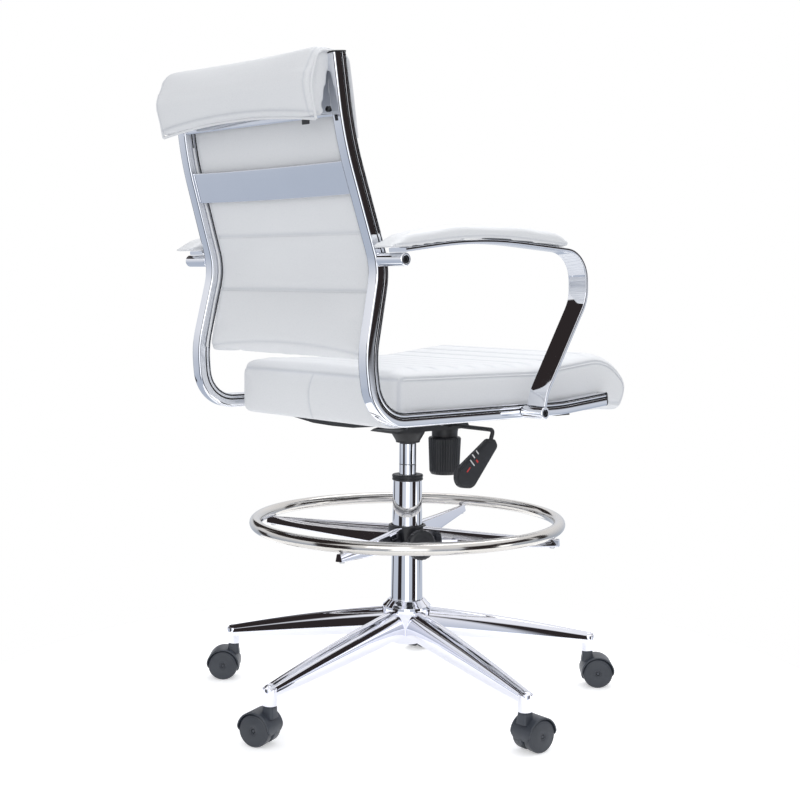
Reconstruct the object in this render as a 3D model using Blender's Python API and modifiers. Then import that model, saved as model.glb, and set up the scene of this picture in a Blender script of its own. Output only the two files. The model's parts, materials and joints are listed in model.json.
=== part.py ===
"""Drafting chair: gas-lift swivel chair with a foot ring, tilt mechanism, arms and a ribbed back.

Metres, +Z up. The sitter faces -Y and the sitter's right hand is on the -X side.
The floor is z = 0 and the origin is the middle of the chair's bounding box, on the floor.
Side outlines are written as (forward, up) and turned into place by SIDE_VIEW.
"""
import math

import bmesh
import bpy
from mathutils import Matrix, Vector

# ---------------------------------------------------------------- driving dimensions
COLUMN_AXIS = (0.0052, -0.0143)        # plan position of the column in the chair's frame
GAP = 0.0003                      # air between touching pieces

LEG_COUNT = 5
LEG_PHASE = math.radians(27.0)
CASTER_CIRCLE = 0.325             # radius of the circle of caster stems
CASTER_HEADINGS = (48, 22, 266, 228, 288)   # degrees, from the stem towards the wheels
SOCKET_TOP, SOCKET_BOTTOM = 0.095, 0.062
SOCKET_RADIUS = 0.0110
WHEEL_RADIUS = 0.0255
WHEEL_SIDES = 20                  # a flat of the tread rests on the floor
WHEEL_WIDTH = 0.0175
WHEEL_INNER = 0.0040              # from the caster's middle plane to the wheel
CASTER_TRAIL = 0.017
STEM_RADIUS = 0.0055
AXLE_RADIUS = 0.0030
HOOD_EDGE = 0.0205                # height of the lower edge of a caster's hood

HUB_TOP, HUB_BOTTOM = 0.1700, 0.0970
TUBE_BOTTOM, TUBE_TOP = 0.1045, 0.3692
TUBE_FOOT_RADIUS, TUBE_TOP_RADIUS = 0.0262, 0.0238
TUBE_BORE = 0.0220
COLLAR_TOP = 0.3790
CYLINDER_RADIUS = 0.0140
CYLINDER_BOTTOM = 0.1180
CYLINDER_TOP = 0.4535
ROD_RADIUS = 0.0050
ROD_BOTTOM, ROD_TOP = 0.0990, 0.3850

RING_RADIUS, RING_TUBE, RING_HEIGHT = 0.2510, 0.0100, 0.3006
SPOKE_COUNT = 4
SPOKE_PHASE = math.radians(25.0)
RING_HUB_RADIUS, RING_HUB_BORE = 0.0310, 0.0268
RING_HUB_BOTTOM, RING_HUB_TOP = 0.2540, 0.2950
CLAMP_ANGLE = math.radians(163.0)
CLAMP_HEIGHT = 0.2690
CLAMP_KNOB_RADIUS = 0.0250

FLOOR_BOTTOM = 0.4515             # underside of the tilt housing
SHEET = 0.0030
HOUSING_HALF = 0.0320
PIVOT = (0.0450, 0.4660)          # forward and up, of the tilt axle
PIVOT_RADIUS = 0.0040
TENSION_FORWARD = 0.0840
KNOB_TOP, KNOB_BOTTOM = 0.4360, 0.3720
LEVER = (0.0660, 0.4590)          # forward and up, of the lever rod
LEVER_END = 0.1280                # how far out the rod reaches
LEVER_RADIUS = 0.0035

SEAT_PLATE_TOP = 0.4877
PAN_BOTTOM, PAN_TOP = 0.4880, 0.4920
RAIL_WIDTH, RAIL_DEPTH = 0.0210, 0.0220
RAIL_SPACING = 0.2035             # rail centre from the middle, at RAIL_SPACING_HEIGHT
RAIL_SPACING_HEIGHT = 0.7220
RAIL_LEAN = math.radians(2.58)    # the rails close in towards the top
RAIL_CORNERS = (                  # forward, up, radius of the bend
    (-0.3120, 1.0100, 0.0),
    (-0.2990, 0.8980, 0.500),
    (-0.2400, 0.7150, 0.100),
    (-0.2680, 0.5900, 0.150),
    (-0.2580, 0.4980, 0.058),
    (0.1300, 0.4970, 0.500),
    (0.2380, 0.5060, 0.0),
)
SEAT_HALF = 0.1985
BACK_THICKNESS = 0.0290
BACK_BOTTOM, BACK_TOP = 0.5940, 0.9970

ARM_INNER, ARM_OUTER = 0.2320, 0.2685
ARM_THICKNESS = 0.0060
SPACER_RADIUS = 0.0095
REAR_SPACER = (-0.2480, 0.7280)
FRONT_SPACER = (0.0410, 0.4975)
ARM_CORNERS = (
    (-0.2480, 0.7410, 0.0),
    (-0.1000, 0.7590, 0.300),
    (0.1300, 0.7440, 0.048),
    (0.1330, 0.6700, 0.060),
    (0.0460, 0.5290, 0.050),
    (0.0410, 0.5075, 0.0),
)

SIDE_VIEW = Matrix(((0, 0, -1, 0), (-1, 0, 0, 0), (0, 1, 0, 0), (0, 0, 0, 1)))
COLLECTION = "drafting_chair"
CUTTERS = "cutters"


# ---------------------------------------------------------------- scene and materials
def start_scene():
    """Empty the scene and make the two collections."""
    for thing in list(bpy.data.objects):
        bpy.data.objects.remove(thing)
    for name in (COLLECTION, CUTTERS):
        group = bpy.data.collections.new(name)
        bpy.context.scene.collection.children.link(group)
    frame = bpy.data.objects.new("column_axis", None)
    frame.location = (COLUMN_AXIS[0], COLUMN_AXIS[1], 0)
    bpy.data.collections[COLLECTION].objects.link(frame)
    return frame


FINISHES = {
    "chrome": ((0.80, 0.81, 0.84), 0.08, 1.0),
    "brushed_steel": ((0.70, 0.69, 0.67), 0.25, 1.0),
    "steel": ((0.55, 0.56, 0.58), 0.35, 1.0),
    "black_plastic": ((0.035, 0.037, 0.042), 0.45, 0.0),
    "caster_plastic": ((0.060, 0.068, 0.080), 0.50, 0.0),
    "black_steel": ((0.030, 0.030, 0.032), 0.50, 0.3),
    "white_leather": ((0.86, 0.87, 0.88), 0.45, 0.0),
    "bush_plastic": ((0.12, 0.12, 0.12), 0.55, 0.0),
}


def finish(name, kind):
    """A Principled material of its own for one piece."""
    colour, roughness, metallic = FINISHES[kind]
    material = bpy.data.materials.new(name + "_material")
    material.use_nodes = True
    shader = material.node_tree.nodes["Principled BSDF"]
    shader.inputs["Base Color"].default_value = (*colour, 1)
    shader.inputs["Roughness"].default_value = roughness
    shader.inputs["Metallic"].default_value = metallic
    return material


def add_piece(name, mesh, kind, matrix=None, smooth=True):
    """Link a mesh as a piece of the chair, with its own material."""
    piece = bpy.data.objects.new(name, mesh)
    bpy.data.collections[COLLECTION].objects.link(piece)
    piece.parent = FRAME
    piece.matrix_local = matrix or Matrix()
    if not mesh.materials:
        mesh.materials.append(None)
    piece.material_slots[0].link = "OBJECT"
    piece.material_slots[0].material = finish(name, kind)
    if smooth:
        mesh.shade_smooth()
        mesh.set_sharp_from_angle(angle=math.radians(35))
    return piece


# ---------------------------------------------------------------- mesh helpers
def evaluated_mesh(thing, name):
    """The mesh an object makes with its modifiers, with its place baked in."""
    bpy.context.view_layer.update()
    graph = bpy.context.evaluated_depsgraph_get()
    mesh = bpy.data.meshes.new_from_object(thing.evaluated_get(graph))
    mesh.name = name
    mesh.transform(thing.matrix_world)
    work = bmesh.new()
    work.from_mesh(mesh)
    bmesh.ops.remove_doubles(work, verts=work.verts, dist=0.00001)
    bmesh.ops.recalc_face_normals(work, faces=work.faces)
    work.to_mesh(mesh)
    work.free()
    bpy.data.objects.remove(thing)
    return mesh


def loose_object(name, data):
    """An object in the cutters' collection, to be baked or used as a cutter."""
    thing = bpy.data.objects.new(name, data)
    bpy.data.collections[CUTTERS].objects.link(thing)
    thing.hide_render = True
    thing.display_type = "WIRE"
    return thing


def rounded_corner(before, corner, after, radius, step):
    """The points of the arc that rounds one corner, by its tangent length and angle."""
    here = Vector(corner)
    back = (Vector(before) - here).normalized()
    ahead = (Vector(after) - here).normalized()
    half = back.angle(ahead) / 2
    reach = radius / math.tan(half)
    centre = here + (back + ahead).normalized() * radius / math.sin(half)
    sweep = math.pi - 2 * half
    count = max(2, math.ceil(sweep / step))
    start = here + back * reach - centre
    turn = 1 if back.cross(ahead) < 0 else -1
    points = []
    for index in range(count + 1):
        angle = turn * sweep * index / count
        points.append(centre + Matrix.Rotation(angle, 2) @ start)
    return points


def rounded_path(corners, closed=False, step=math.radians(14)):
    """A 2D path through corners (x, y, radius), with each corner rounded to its radius."""
    points = []
    total = len(corners)
    for index, (x, y, radius) in enumerate(corners):
        ends = not closed and index in (0, total - 1)
        if ends or radius == 0:
            points.append(Vector((x, y)))
            continue
        before = corners[index - 1][:2]
        after = corners[(index + 1) % total][:2]
        points += rounded_corner(before, (x, y), after, radius, step)
    return points


def offset_path(points, distance):
    """The path moved sideways by a distance, along the normals at its points."""
    moved = []
    for index, point in enumerate(points):
        before = points[max(index - 1, 0)]
        after = points[min(index + 1, len(points) - 1)]
        run = (after - before).normalized()
        moved.append(point + Vector((-run.y, run.x)) * distance)
    return moved


def band(points, lower, upper):
    """A closed outline between two offsets of one path."""
    return offset_path(points, lower) + offset_path(points, upper)[::-1]


def outline_mesh(name, outline, thickness, matrix):
    """A flat outline, as a filled 2D curve extruded by half its thickness each way."""
    curve = bpy.data.curves.new(name, "CURVE")
    curve.dimensions = "2D"
    curve.fill_mode = "BOTH"
    curve.extrude = thickness / 2
    spline = curve.splines.new("POLY")
    spline.points.add(len(outline) - 1)
    for point, place in zip(spline.points, outline):
        point.co = (place[0], place[1], 0, 1)
    spline.use_cyclic_u = True
    thing = loose_object(name, curve)
    thing.matrix_world = matrix
    return evaluated_mesh(thing, name)


def side_mesh(name, outline, inner, outer):
    """A side outline (forward, up) as a plate from inner to outer, measured to the right."""
    place = Matrix.Translation((-(inner + outer) / 2, 0, 0)) @ SIDE_VIEW
    return outline_mesh(name, outline, outer - inner, place)


def turned_mesh(name, profile, segments=24, matrix=None):
    """A profile (radius, height), top to bottom on its outer side, turned by a Screw."""
    work = bmesh.new()
    verts = [work.verts.new((radius, 0, height)) for radius, height in profile]
    for index in range(len(verts) - 1):
        work.edges.new((verts[index], verts[index + 1]))
    if profile[0][0] > 0:
        work.edges.new((verts[-1], verts[0]))
    mesh = bpy.data.meshes.new(name)
    work.to_mesh(mesh)
    work.free()
    thing = loose_object(name, mesh)
    screw = thing.modifiers.new("turn", "SCREW")
    screw.steps = segments
    screw.render_steps = segments
    screw.use_merge_vertices = True
    screw.merge_threshold = 0.00001
    thing.matrix_world = matrix or Matrix()
    return evaluated_mesh(thing, name)


def cylinder_mesh(name, radius, depth, matrix, segments=20, top_radius=None):
    """A capped cylinder or cone about the local Z axis."""
    work = bmesh.new()
    upper = radius if top_radius is None else top_radius
    bmesh.ops.create_cone(work, cap_ends=True, segments=segments, radius1=radius,
                          radius2=upper, depth=depth)
    mesh = bpy.data.meshes.new(name)
    work.to_mesh(mesh)
    work.free()
    mesh.transform(matrix)
    return mesh


def box_mesh(name, low, high):
    """A box from its lowest to its highest corner."""
    work = bmesh.new()
    bmesh.ops.create_cube(work, size=1)
    mesh = bpy.data.meshes.new(name)
    work.to_mesh(mesh)
    work.free()
    low, high = Vector(low), Vector(high)
    size = high - low
    mesh.transform(Matrix.Translation((low + high) / 2) @ Matrix.Diagonal((*size, 1)))
    return mesh


def tapered_bar(name, near, far, matrix):
    """A bar along +X whose ends are (x, half width, bottom, top), narrower on top."""
    work = bmesh.new()
    bmesh.ops.create_cube(work, size=2)
    for vert in work.verts:
        x, half, bottom, top = near if vert.co.x < 0 else far
        crown = 0.62 if vert.co.z > 0 else 1.0
        vert.co = (x, vert.co.y * half * crown, top if vert.co.z > 0 else bottom)
    mesh = bpy.data.meshes.new(name)
    work.to_mesh(mesh)
    work.free()
    mesh.transform(matrix)
    return mesh


def combine(name, base, others, operation):
    """Union or difference of a mesh with a list of meshes, by the EXACT solver."""
    thing = loose_object(name, base)
    tools = []
    for index, other in enumerate(others):
        tool = loose_object(f"{name}_tool_{index}", other)
        boolean = thing.modifiers.new(f"{operation}_{index}", "BOOLEAN")
        boolean.operation = operation
        boolean.solver = "EXACT"
        boolean.object = tool
        tools.append(tool)
    mesh = evaluated_mesh(thing, name)
    for tool in tools:
        bpy.data.objects.remove(tool)
    return mesh


def bevelled(name, mesh, width, segments=2, angle=30):
    """The mesh with its sharp edges rounded."""
    thing = loose_object(name, mesh)
    bevel = thing.modifiers.new("round", "BEVEL")
    bevel.width = width
    bevel.segments = segments
    bevel.limit_method = "ANGLE"
    bevel.angle_limit = math.radians(angle)
    return evaluated_mesh(thing, name)


def upright(radius, height, angle=0.0):
    """A place at a plan radius, angle and height, turned to that angle."""
    return Matrix.Rotation(angle, 4, "Z") @ Matrix.Translation((radius, 0, height))


def across(forward, up, right=0.0):
    """A place whose local Z axis runs across the chair, to the sitter's right."""
    return Matrix.Translation((-right, -forward, up)) @ Matrix.Rotation(-math.pi / 2, 4, "Y")


def leaning(side):
    """The lean of a rail and of what is fixed to it, about its spacing height."""
    pivot = Vector((-side * RAIL_SPACING, 0, RAIL_SPACING_HEIGHT))
    turn = Matrix.Rotation(side * RAIL_LEAN, 4, "Y")
    return Matrix.Translation(pivot) @ turn @ Matrix.Translation(-pivot)


def half_gap(height):
    """Half the clear width between the rails at a height."""
    lean = math.tan(RAIL_LEAN) * (height - RAIL_SPACING_HEIGHT)
    return RAIL_SPACING - lean - RAIL_WIDTH / 2 / math.cos(RAIL_LEAN)


# ---------------------------------------------------------------- base and column
def base_star():
    """The hub with five tapered legs and a caster socket at the end of each."""
    hub = turned_mesh("hub", (
        (0.0275, HUB_TOP), (0.0405, 0.1615), (0.0400, 0.1500), (0.0330, 0.1180),
        (0.0240, HUB_BOTTOM), (0.0190, HUB_BOTTOM), (0.0190, 0.1040), (0.0266, 0.1040),
        (0.0266, HUB_TOP)), segments=24)
    parts = []
    holes = []
    for index in range(LEG_COUNT):
        angle = LEG_PHASE + index * 2 * math.pi / LEG_COUNT
        turn = Matrix.Rotation(angle, 4, "Z")
        leg = tapered_bar("leg", (0.0290, 0.0190, 0.1120, 0.1560),
                          (CASTER_CIRCLE, 0.0098, 0.0760, SOCKET_TOP - 0.0010), turn)
        parts.append(bevelled("leg", leg, 0.0035, 1))
        middle = (SOCKET_TOP + SOCKET_BOTTOM) / 2
        height = SOCKET_TOP - SOCKET_BOTTOM
        place = upright(CASTER_CIRCLE, middle, angle)
        parts.append(cylinder_mesh("socket", SOCKET_RADIUS, height, place, 14))
        bore = upright(CASTER_CIRCLE, SOCKET_BOTTOM + 0.010, angle)
        holes.append(cylinder_mesh("bore", STEM_RADIUS + GAP, 0.030, bore, 14))
    star = combine("base_star", hub, parts, "UNION")
    star = combine("base_star", star, holes, "DIFFERENCE")
    add_piece("base_star", star, "chrome")


def column():
    """The outer tube, its collar, bush, bearing and clip, and the piston rod."""
    add_piece("column_tube", turned_mesh("column_tube", (
        (TUBE_TOP_RADIUS, TUBE_TOP), (TUBE_FOOT_RADIUS, 0.1750),
        (TUBE_FOOT_RADIUS, TUBE_BOTTOM), (ROD_RADIUS + GAP, TUBE_BOTTOM),
        (ROD_RADIUS + GAP, TUBE_BOTTOM + SHEET), (TUBE_BORE, TUBE_BOTTOM + SHEET),
        (TUBE_BORE, TUBE_TOP)), 20), "chrome")
    add_piece("column_collar", turned_mesh("column_collar", (
        (0.0246, COLLAR_TOP), (0.0256, COLLAR_TOP - 0.0012), (0.0256, 0.3712),
        (0.0250, TUBE_TOP + GAP), (0.0146, TUBE_TOP + GAP), (0.0146, COLLAR_TOP)), 20),
        "black_plastic")
    add_piece("guide_bush", turned_mesh("guide_bush", (
        (TUBE_BORE - GAP, TUBE_TOP - 0.0005), (TUBE_BORE - GAP, 0.2900), (0.0145, 0.2900),
        (0.0145, TUBE_TOP - 0.0005)), 20), "bush_plastic")
    bearing_bottom = TUBE_BOTTOM + SHEET + GAP
    add_piece("thrust_bearing", turned_mesh("thrust_bearing", (
        (0.0125, bearing_bottom + 0.0060), (0.0125, bearing_bottom), (0.0055, bearing_bottom),
        (0.0055, bearing_bottom + 0.0060)), 16), "steel")
    add_piece("retaining_clip", turned_mesh("retaining_clip", (
        (0.0105, TUBE_BOTTOM - GAP), (0.0105, 0.1016), (0.0055, 0.1016),
        (0.0055, TUBE_BOTTOM - GAP)), 16), "steel")
    rod = upright(0, (ROD_BOTTOM + ROD_TOP) / 2)
    add_piece("piston_rod", cylinder_mesh("piston_rod", ROD_RADIUS, ROD_TOP - ROD_BOTTOM, rod, 16),
              "steel")


def gas_cylinder():
    """The sliding cylinder, bored for the rod below and for the release pin above."""
    body = turned_mesh("gas_cylinder", (
        (0, CYLINDER_TOP), (0.0126, CYLINDER_TOP), (0.0132, 0.4315), (CYLINDER_RADIUS, 0.4300),
        (CYLINDER_RADIUS, CYLINDER_BOTTOM), (0.0055, CYLINDER_BOTTOM), (0.0055, 0.3950),
        (0, 0.3950)), 20)
    bore = cylinder_mesh("pin_bore", 0.0045, 0.0240, upright(0, CYLINDER_TOP), 14)
    add_piece("gas_cylinder", combine("gas_cylinder", body, [bore], "DIFFERENCE"), "chrome")
    pin = cylinder_mesh("lift_pin", 0.0040, 0.0130, upright(0, 0.4515), 14)
    add_piece("lift_pin", pin, "steel")


# ---------------------------------------------------------------- foot ring
def foot_ring():
    """The ring, the spider that carries it and the knob that clamps it to the column."""
    bpy.ops.mesh.primitive_torus_add(
        major_radius=RING_RADIUS, minor_radius=RING_TUBE, major_segments=40,
        minor_segments=8, location=(0, 0, RING_HEIGHT))
    add_piece("foot_ring", evaluated_mesh(bpy.context.object, "foot_ring"), "brushed_steel")
    hub = turned_mesh("ring_hub", (
        (RING_HUB_RADIUS - 0.001, RING_HUB_TOP), (RING_HUB_RADIUS, RING_HUB_TOP - 0.002),
        (RING_HUB_RADIUS, RING_HUB_BOTTOM), (RING_HUB_BORE, RING_HUB_BOTTOM),
        (RING_HUB_BORE, RING_HUB_TOP)), 20)
    parts = []
    top = RING_HEIGHT - RING_TUBE - GAP
    for index in range(SPOKE_COUNT):
        angle = SPOKE_PHASE + index * 2 * math.pi / SPOKE_COUNT
        turn = Matrix.Rotation(angle, 4, "Z")
        parts.append(tapered_bar("spoke", (0.0285, 0.0100, 0.2560, 0.2935),
                                 (RING_RADIUS + 0.0110, 0.0055, top - 0.0120, top), turn))
    sideways = Matrix.Rotation(math.pi / 2, 4, "Y")
    boss = upright(0.0345, CLAMP_HEIGHT, CLAMP_ANGLE) @ sideways
    parts.append(cylinder_mesh("boss", 0.0100, 0.0110, boss, 16))
    spider = combine("ring_spider", hub, parts, "UNION")
    hole = cylinder_mesh("hole", 0.0043, 0.0240, boss, 14)
    add_piece("ring_spider", combine("ring_spider", spider, [hole], "DIFFERENCE"), "chrome")
    stud = upright(0.0345, CLAMP_HEIGHT, CLAMP_ANGLE) @ sideways
    knob = turned_mesh("clamp_knob", (
        (0, 0.0270), (0.0200, 0.0270), (CLAMP_KNOB_RADIUS, 0.0240), (CLAMP_KNOB_RADIUS, 0.0150),
        (0.0220, 0.0125), (0.0110, 0.0110), (0.0100, 0.0060), (0.0040, 0.0060),
        (0.0040, -0.0066), (0, -0.0066)), 18, stud)
    add_piece("clamp_knob", knob, "black_plastic")


# ---------------------------------------------------------------- tilt mechanism
def mechanism_housing():
    """The pressed channel with the taper cup for the column and the neck for the spring."""
    wall = ((-0.0550, FLOOR_BOTTOM), (0.1080, FLOOR_BOTTOM), (0.1100, 0.4560), (0.0980, 0.4760),
            (0.0520, 0.4760), (0.0300, 0.4690), (-0.0480, 0.4548))
    block = side_mesh("housing", wall, -HOUSING_HALF, HOUSING_HALF)
    inner = HOUSING_HALF - SHEET
    hollow = box_mesh("hollow", (-inner, -0.1050, FLOOR_BOTTOM + SHEET), (inner, 0.0600, 0.5))
    cup = turned_mesh("cup", (
        (0, FLOOR_BOTTOM + 0.0010), (0.0265, FLOOR_BOTTOM + 0.0010), (0.0260, 0.4480),
        (0.0195, 0.4350), (0.0190, 0.4330), (0, 0.4330)), 20)
    neck_place = Matrix.Translation((0, -TENSION_FORWARD, 0))
    neck = turned_mesh("neck", (
        (0, FLOOR_BOTTOM + 0.0010), (0.0215, FLOOR_BOTTOM + 0.0010), (0.0215, 0.4420),
        (0.0205, 0.4300), (0, 0.4300)), 20, neck_place)
    shape = combine("mechanism_housing", block, [hollow], "DIFFERENCE")
    shape = combine("mechanism_housing", shape, [cup, neck], "UNION")
    taper = turned_mesh("taper", (
        (0, 0.4600), (0.0129, 0.4600), (0.0129, CYLINDER_TOP), (0.0135, 0.4315),
        (0.0136, 0.4200), (0, 0.4200)), 20)
    spring_room = cylinder_mesh("room", 0.0178, 0.0215,
                                Matrix.Translation((0, -TENSION_FORWARD, 0.43775)), 20)
    bolt_hole = cylinder_mesh("bolt_hole", 0.0054, 0.1,
                              Matrix.Translation((0, -TENSION_FORWARD, FLOOR_BOTTOM)), 14)
    axle_hole = cylinder_mesh("axle_hole", PIVOT_RADIUS + GAP, 0.1, across(*PIVOT), 16)
    rod_hole = cylinder_mesh("rod_hole", LEVER_RADIUS + 0.0008, 0.02,
                             across(*LEVER, HOUSING_HALF), 14)
    shape = combine("mechanism_housing", shape,
                    [taper, spring_room, bolt_hole, axle_hole, rod_hole], "DIFFERENCE")
    add_piece("mechanism_housing", shape, "black_steel")


def tilt_parts():
    """The seat plate with its lugs, the tilt axle and the tilt-lock bar."""
    plate_bottom = SEAT_PLATE_TOP - 0.0040
    plate = box_mesh("plate", (-0.0800, -0.1250, plate_bottom), (0.0800, 0.0850, SEAT_PLATE_TOP))
    forward, up = PIVOT
    lug = ((forward - 0.0110, up - 0.0070), (forward + 0.0110, up - 0.0070),
           (forward + 0.0150, plate_bottom + 0.0010), (forward - 0.0150, plate_bottom + 0.0010))
    outer = HOUSING_HALF - SHEET - 0.0006
    lugs = [side_mesh("lug", lug, -outer, SHEET - outer),
            side_mesh("lug", lug, outer - SHEET, outer)]
    shape = combine("seat_plate", plate, lugs, "UNION")
    hole = cylinder_mesh("hole", PIVOT_RADIUS + GAP, 0.1, across(*PIVOT), 16)
    add_piece("seat_plate", combine("seat_plate", shape, [hole], "DIFFERENCE"), "black_steel")
    end = HOUSING_HALF + GAP
    axle = turned_mesh("tilt_axle", (
        (0, end + 0.0025), (0.0065, end + 0.0025), (0.0065, end), (PIVOT_RADIUS, end),
        (PIVOT_RADIUS, -end), (0.0065, -end), (0.0065, -end - 0.0025), (0, -end - 0.0025)),
        16, across(*PIVOT))
    add_piece("tilt_axle", axle, "steel")
    add_piece("tilt_lock_bar", box_mesh(
        "tilt_lock_bar", (-0.0160, -0.0330, 0.4560), (0.0220, -0.0220, 0.4600)), "steel")


def tension_parts():
    """The bolt, the coil spring around it and the knob that presses the spring."""
    place = Matrix.Translation((0, -TENSION_FORWARD, 0))
    add_piece("tension_bolt", turned_mesh("tension_bolt", (
        (0, 0.4660), (0.0085, 0.4660), (0.0085, FLOOR_BOTTOM + SHEET + GAP),
        (0.0050, FLOOR_BOTTOM + SHEET + GAP), (0.0050, 0.3800), (0, 0.3800)), 16, place), "steel")
    add_piece("tension_knob", turned_mesh("tension_knob", (
        (0.0272, KNOB_TOP - 0.0010), (0.0276, KNOB_TOP - 0.0030), (0.0252, KNOB_BOTTOM + 0.0040),
        (0.0220, KNOB_BOTTOM), (0, KNOB_BOTTOM), (0, 0.3790), (0.0195, 0.3790),
        (0.0225, 0.3830), (0.0235, KNOB_TOP - 0.0010)), 20, place), "black_plastic")
    turns, per_turn = 4, 10
    low, high = 0.3815, 0.4455
    curve = bpy.data.curves.new("tension_spring", "CURVE")
    curve.dimensions = "3D"
    curve.bevel_depth = 0.0021
    curve.bevel_resolution = 1
    curve.use_fill_caps = True
    spline = curve.splines.new("POLY")
    count = turns * per_turn + 1
    spline.points.add(count - 1)
    for index, point in enumerate(spline.points):
        angle = 2 * math.pi * index / per_turn
        height = low + (high - low) * index / (count - 1)
        point.co = (0.0145 * math.cos(angle), 0.0145 * math.sin(angle), height, 1)
    thing = loose_object("tension_spring", curve)
    thing.matrix_world = place
    add_piece("tension_spring", evaluated_mesh(thing, "tension_spring"), "steel")


def lever_parts():
    """The rod that leaves the housing to the right, and the paddle at its end."""
    forward, up = LEVER
    inner = -0.0120
    middle = (inner + LEVER_END) / 2
    add_piece("lever_rod", cylinder_mesh("lever_rod", LEVER_RADIUS, LEVER_END - inner,
                                         across(forward, up, middle), 14), "black_steel")
    outline = rounded_path((
        (forward + 0.0120, up + 0.0070, 0.006), (forward + 0.0135, up - 0.0120, 0.008),
        (forward - 0.0520, up - 0.0830, 0.012), (forward - 0.0860, up - 0.0720, 0.012),
        (forward - 0.0720, up - 0.0520, 0.010), (forward - 0.0080, up + 0.0070, 0.006)),
        closed=True, step=math.radians(24))
    paddle = side_mesh("lever_paddle", outline, LEVER_END + GAP, LEVER_END + 0.0085)
    add_piece("lever_paddle", bevelled("lever_paddle", paddle, 0.0020, 1), "black_plastic")


# ---------------------------------------------------------------- frame of the seat and back
def rail_path():
    """The side rail's centre line as (forward, up), from its top to its front end."""
    return rounded_path(RAIL_CORNERS)


def side_rails():
    """The two one-piece rails, each with a cap on its two ends."""
    path = rail_path()
    outline = band(path, -RAIL_DEPTH / 2, RAIL_DEPTH / 2)
    caps = {"top": (path[0], path[0] - path[1]), "front": (path[-1], path[-1] - path[-2])}
    for name, side in (("right", 1), ("left", -1)):
        inner = side * RAIL_SPACING - RAIL_WIDTH / 2
        rail = side_mesh(f"side_rail_{name}", outline, inner, inner + RAIL_WIDTH)
        rail.transform(leaning(side))
        add_piece(f"side_rail_{name}", rail, "chrome")
        for end, (place, run) in caps.items():
            run = run.normalized()
            normal = Vector((-run.y, run.x)) * (RAIL_DEPTH / 2 - 0.0006)
            start, stop = place + run * GAP, place + run * 0.0030
            corners = (start + normal, stop + normal, stop - normal, start - normal)
            cap = side_mesh("cap", corners, inner + 0.0006, inner + RAIL_WIDTH - 0.0006)
            cap.transform(leaning(side))
            add_piece(f"rail_cap_{end}_{name}", cap, "black_plastic")


def rail_forward(height):
    """How far forward the rail's centre line is at a height of the back."""
    path = [point for point in rail_path() if point.y > 0.53]
    for upper, lower in zip(path, path[1:]):
        if lower.y <= height <= upper.y:
            share = (height - lower.y) / (upper.y - lower.y)
            return lower.x + (upper.x - lower.x) * share
    return path[0].x if height > path[0].y else path[-1].x


def fit_between_rails(mesh, clearance):
    """Stretch a piece sideways so that it follows the gap between the rails."""
    for vert in mesh.vertices:
        vert.co.x *= half_gap(vert.co.z) - clearance


def crossbars():
    """The two bars across the back and the two arched members under the seat."""
    for name, bottom, top in (("upper", 0.9250, 0.9940), ("middle", 0.8190, 0.8650)):
        heights = (bottom, (bottom + top) / 2, top)
        path = [Vector((rail_forward(height), height)) for height in heights]
        bar = side_mesh(f"{name}_crossbar", band(path, 0.0028, 0.0072), -1, 1)
        fit_between_rails(bar, GAP)
        add_piece(f"{name}_crossbar", bar, "chrome")
    reach = half_gap(0.4900) - 0.0004
    front_view = Matrix.Rotation(math.pi / 2, 4, "X")
    for name, forward in (("rear", -0.1450), ("front", 0.1550)):
        half = [(0, SEAT_PLATE_TOP), (reach - 0.0030, SEAT_PLATE_TOP), (reach - 0.0030, 0.4980),
                (reach, 0.4980), (reach, 0.4830), (0.1200, 0.4780), (0.0500, 0.4700), (0, 0.4690)]
        outline = [(-x, z) for x, z in half[::-1][1:-1]] + half
        place = Matrix.Translation((0, -forward, 0)) @ front_view
        add_piece(f"seat_crossbar_{name}", outline_mesh(
            f"seat_crossbar_{name}", outline, 0.0300, place), "black_steel")


# ---------------------------------------------------------------- soft parts
def seat():
    """The stiff pan and the thick cushion with its dropped front edge."""
    pan_path = [Vector((-0.1850, (PAN_BOTTOM + PAN_TOP) / 2)),
                Vector((0.2450, (PAN_BOTTOM + PAN_TOP) / 2))]
    thickness = PAN_TOP - PAN_BOTTOM
    pan = side_mesh("seat_pan", band(pan_path, -thickness / 2, thickness / 2), -0.190, 0.190)
    add_piece("seat_pan", pan, "black_steel")
    bottom = PAN_TOP + GAP
    outline = rounded_path((
        (-0.2030, bottom, 0.008), (0.2600, bottom, 0.020), (0.3060, 0.4880, 0.012),
        (0.3290, 0.5250, 0.030), (0.2650, 0.5800, 0.060), (0.1000, 0.5660, 0.300),
        (-0.2030, 0.5680, 0.024)), closed=True, step=math.radians(20))
    cushion = side_mesh("seat_cushion", outline, -SEAT_HALF, SEAT_HALF)
    add_piece("seat_cushion", bevelled("seat_cushion", cushion, 0.0060, 1), "white_leather")


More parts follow.
